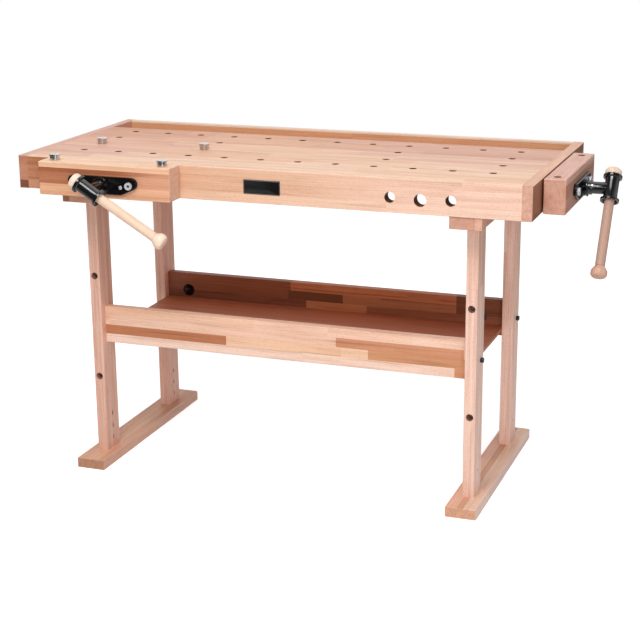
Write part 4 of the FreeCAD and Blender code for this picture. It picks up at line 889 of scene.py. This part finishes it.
# ---- stage
class WORKBENCH_OT_stage(bpy.types.Operator):
    """Set up the floor, lamps, camera and background"""
    bl_idname = "workbench.stage"
    bl_label = "Studio"

    def execute(self, context):
        self.lay_floor(context.scene.bench_finish.floor)
        self.hang_lamps()
        self.set_camera(context.scene)
        self.light_world(context.scene)
        context.scene.view_settings.view_transform = "Standard"
        return {"FINISHED"}

    def kinds_of_ray(self, tree):
        """Whether a ray comes straight from the camera, and whether it comes off metal."""
        ray = add(tree, "LightPath").outputs
        seen = add(tree, "Math", {0: ray["Is Camera Ray"], 1: ray["Is Transmission Ray"]},
                   operation="MAXIMUM").outputs[0]
        return seen, ray["Is Glossy Ray"]

    def lay_floor(self, colour):
        """A painted board floor that the camera sees as white paper with a soft shadow."""
        material, tree = new_material("floor_matt_paint")
        point = add(tree, "TexCoord").outputs["Object"]
        # roller texture 5 mm apart
        nap = add(tree, "TexNoise", {"Vector": point, "Scale": 200.0, "Detail": 2.0}).outputs["Fac"]
        bump = add(tree, "Bump", {"Strength": 0.05, "Distance": 0.0005, "Height": nap}).outputs[0]
        paint_layer = add(tree, "BsdfDiffuse", {"Color": (*colour, 1), "Normal": bump}).outputs[0]
        glow = add(tree, "Emission", {"Color": WHITE, "Strength": 0.70}).outputs[0]
        near = add(tree, "AddShader", {0: paint_layer, 1: glow}).outputs[0]
        paper = add(tree, "Emission", {"Color": WHITE, "Strength": 1.0}).outputs[0]
        # the lit floor turns into plain white between 1.8 and 4.5 m from the bench's middle
        out = add(tree, "VectorMath", {0: point}, operation="LENGTH").outputs["Value"]
        away = add(tree, "MapRange", {0: out, 1: 1.8, 2: 4.5}).outputs[0]
        backdrop = add(tree, "MixShader", {0: away, 1: near, 2: paper}).outputs[0]
        seen, mirrored = self.kinds_of_ray(tree)
        lit = add(tree, "MixShader", {0: seen, 1: paint_layer, 2: backdrop}).outputs[0]
        # metal sees the sheet of white paper that the bench stands on, and the dim room round it
        sheet = add(tree, "MapRange", {0: out, 1: 1.2, 2: 2.4, 3: 1.0, 4: ROOM}).outputs[0]
        sheet = add(tree, "Emission", {"Color": WHITE, "Strength": sheet}).outputs[0]
        surface = add(tree, "MixShader", {0: mirrored, 1: lit, 2: sheet}).outputs[0]
        add(tree, "OutputMaterial", {"Surface": surface})
        mesh = bmesh.new()
        bmesh.ops.create_grid(mesh, x_segments=1, y_segments=1, size=30.0)
        new_piece("studio_floor", mesh, material)

    def hang_lamps(self):
        for name, spot, target, size, power in LAMPS:
            lamp = bpy.data.lights.new(name, "AREA")
            lamp.shape = "RECTANGLE"
            lamp.size, lamp.size_y = size
            lamp.energy = power
            holder = bpy.data.objects.new(name, lamp)
            holder.location = spot
            beam = Vector(target) - Vector(spot)
            holder.rotation_euler = beam.to_track_quat("-Z", "Y").to_euler()
            bpy.context.scene.collection.objects.link(holder)

    def set_camera(self, scene):
        lens = bpy.data.cameras.new("camera")
        lens.sensor_width = 36.0
        lens.lens = 85.686
        lens.clip_end = 100.0
        camera = bpy.data.objects.new("camera", lens)
        eye = (1.31879, -3.62060, 1.54367)
        yaw, pitch, roll = 0.3521, 0.2859, -0.0091
        aim = Vector((-math.sin(yaw) * math.cos(pitch), math.cos(yaw) * math.cos(pitch),
                      -math.sin(pitch)))
        right = Vector((math.cos(yaw), math.sin(yaw), 0))
        up = right.cross(aim)
        level_right = right * math.cos(roll) + up * math.sin(roll)
        level_up = up * math.cos(roll) - right * math.sin(roll)
        turn = Matrix((level_right, level_up, -aim)).transposed()
        camera.matrix_world = Matrix.Translation(eye) @ turn.to_4x4()
        scene.collection.objects.link(camera)
        scene.camera = camera

    def light_world(self, scene):
        world = bpy.data.worlds.new("studio")
        world.use_nodes = True
        tree = world.node_tree
        tree.nodes.clear()
        ambient = add(tree, "Background", {"Color": WHITE, "Strength": 0.42}).outputs[0]
        paper = add(tree, "Background", {"Color": WHITE, "Strength": 1.0}).outputs[0]
        # metal sees the white backdrop behind the bench and the dim room in front of it
        way = add(tree, "TexCoord").outputs["Generated"]
        behind = add(tree, "SeparateXYZ", {0: way}).outputs["Y"]
        behind = add(tree, "MapRange", {0: behind, 1: -0.3, 2: 0.3, 3: ROOM, 4: 1.0}).outputs[0]
        room = add(tree, "Background", {"Color": WHITE, "Strength": behind}).outputs[0]
        seen, mirrored = self.kinds_of_ray(tree)
        around = add(tree, "MixShader", {0: mirrored, 1: ambient, 2: room}).outputs[0]
        surface = add(tree, "MixShader", {0: seen, 1: around, 2: paper}).outputs[0]
        add(tree, "OutputWorld", {"Surface": surface})
        scene.world = world


# ---- add-on
STEPS = (WORKBENCH_OT_top, WORKBENCH_OT_trestles, WORKBENCH_OT_tray, WORKBENCH_OT_jaws,
         WORKBENCH_OT_castings, WORKBENCH_OT_screws, WORKBENCH_OT_handles, WORKBENCH_OT_dogs,
         WORKBENCH_OT_fasteners, WORKBENCH_OT_plate, WORKBENCH_OT_stage)


class WORKBENCH_PT_panel(bpy.types.Panel):
    """Lists the settings and the steps that make the workbench"""
    bl_idname = "WORKBENCH_PT_panel"
    bl_label = "Workbench"
    bl_space_type = "VIEW_3D"
    bl_region_type = "UI"
    bl_category = "Workbench"

    def draw(self, context):
        for group in (context.scene.bench_sizes, context.scene.bench_finish):
            for name in group.__annotations__:
                self.layout.prop(group, name)
        for step in STEPS:
            self.layout.operator(step.bl_idname)


CLASSES = (BenchSizes, BenchFinish, *STEPS, WORKBENCH_PT_panel)


def register():
    for kind in CLASSES:
        bpy.utils.register_class(kind)
    bpy.types.Scene.bench_sizes = PointerProperty(type=BenchSizes)
    bpy.types.Scene.bench_finish = PointerProperty(type=BenchFinish)


def unregister():
    del bpy.types.Scene.bench_finish
    del bpy.types.Scene.bench_sizes
    for kind in reversed(CLASSES):
        bpy.utils.unregister_class(kind)


def main():
    register()
    for step in STEPS:
        getattr(bpy.ops.workbench, step.bl_idname.split(".")[1])()


if __name__ == "__main__":
    main()
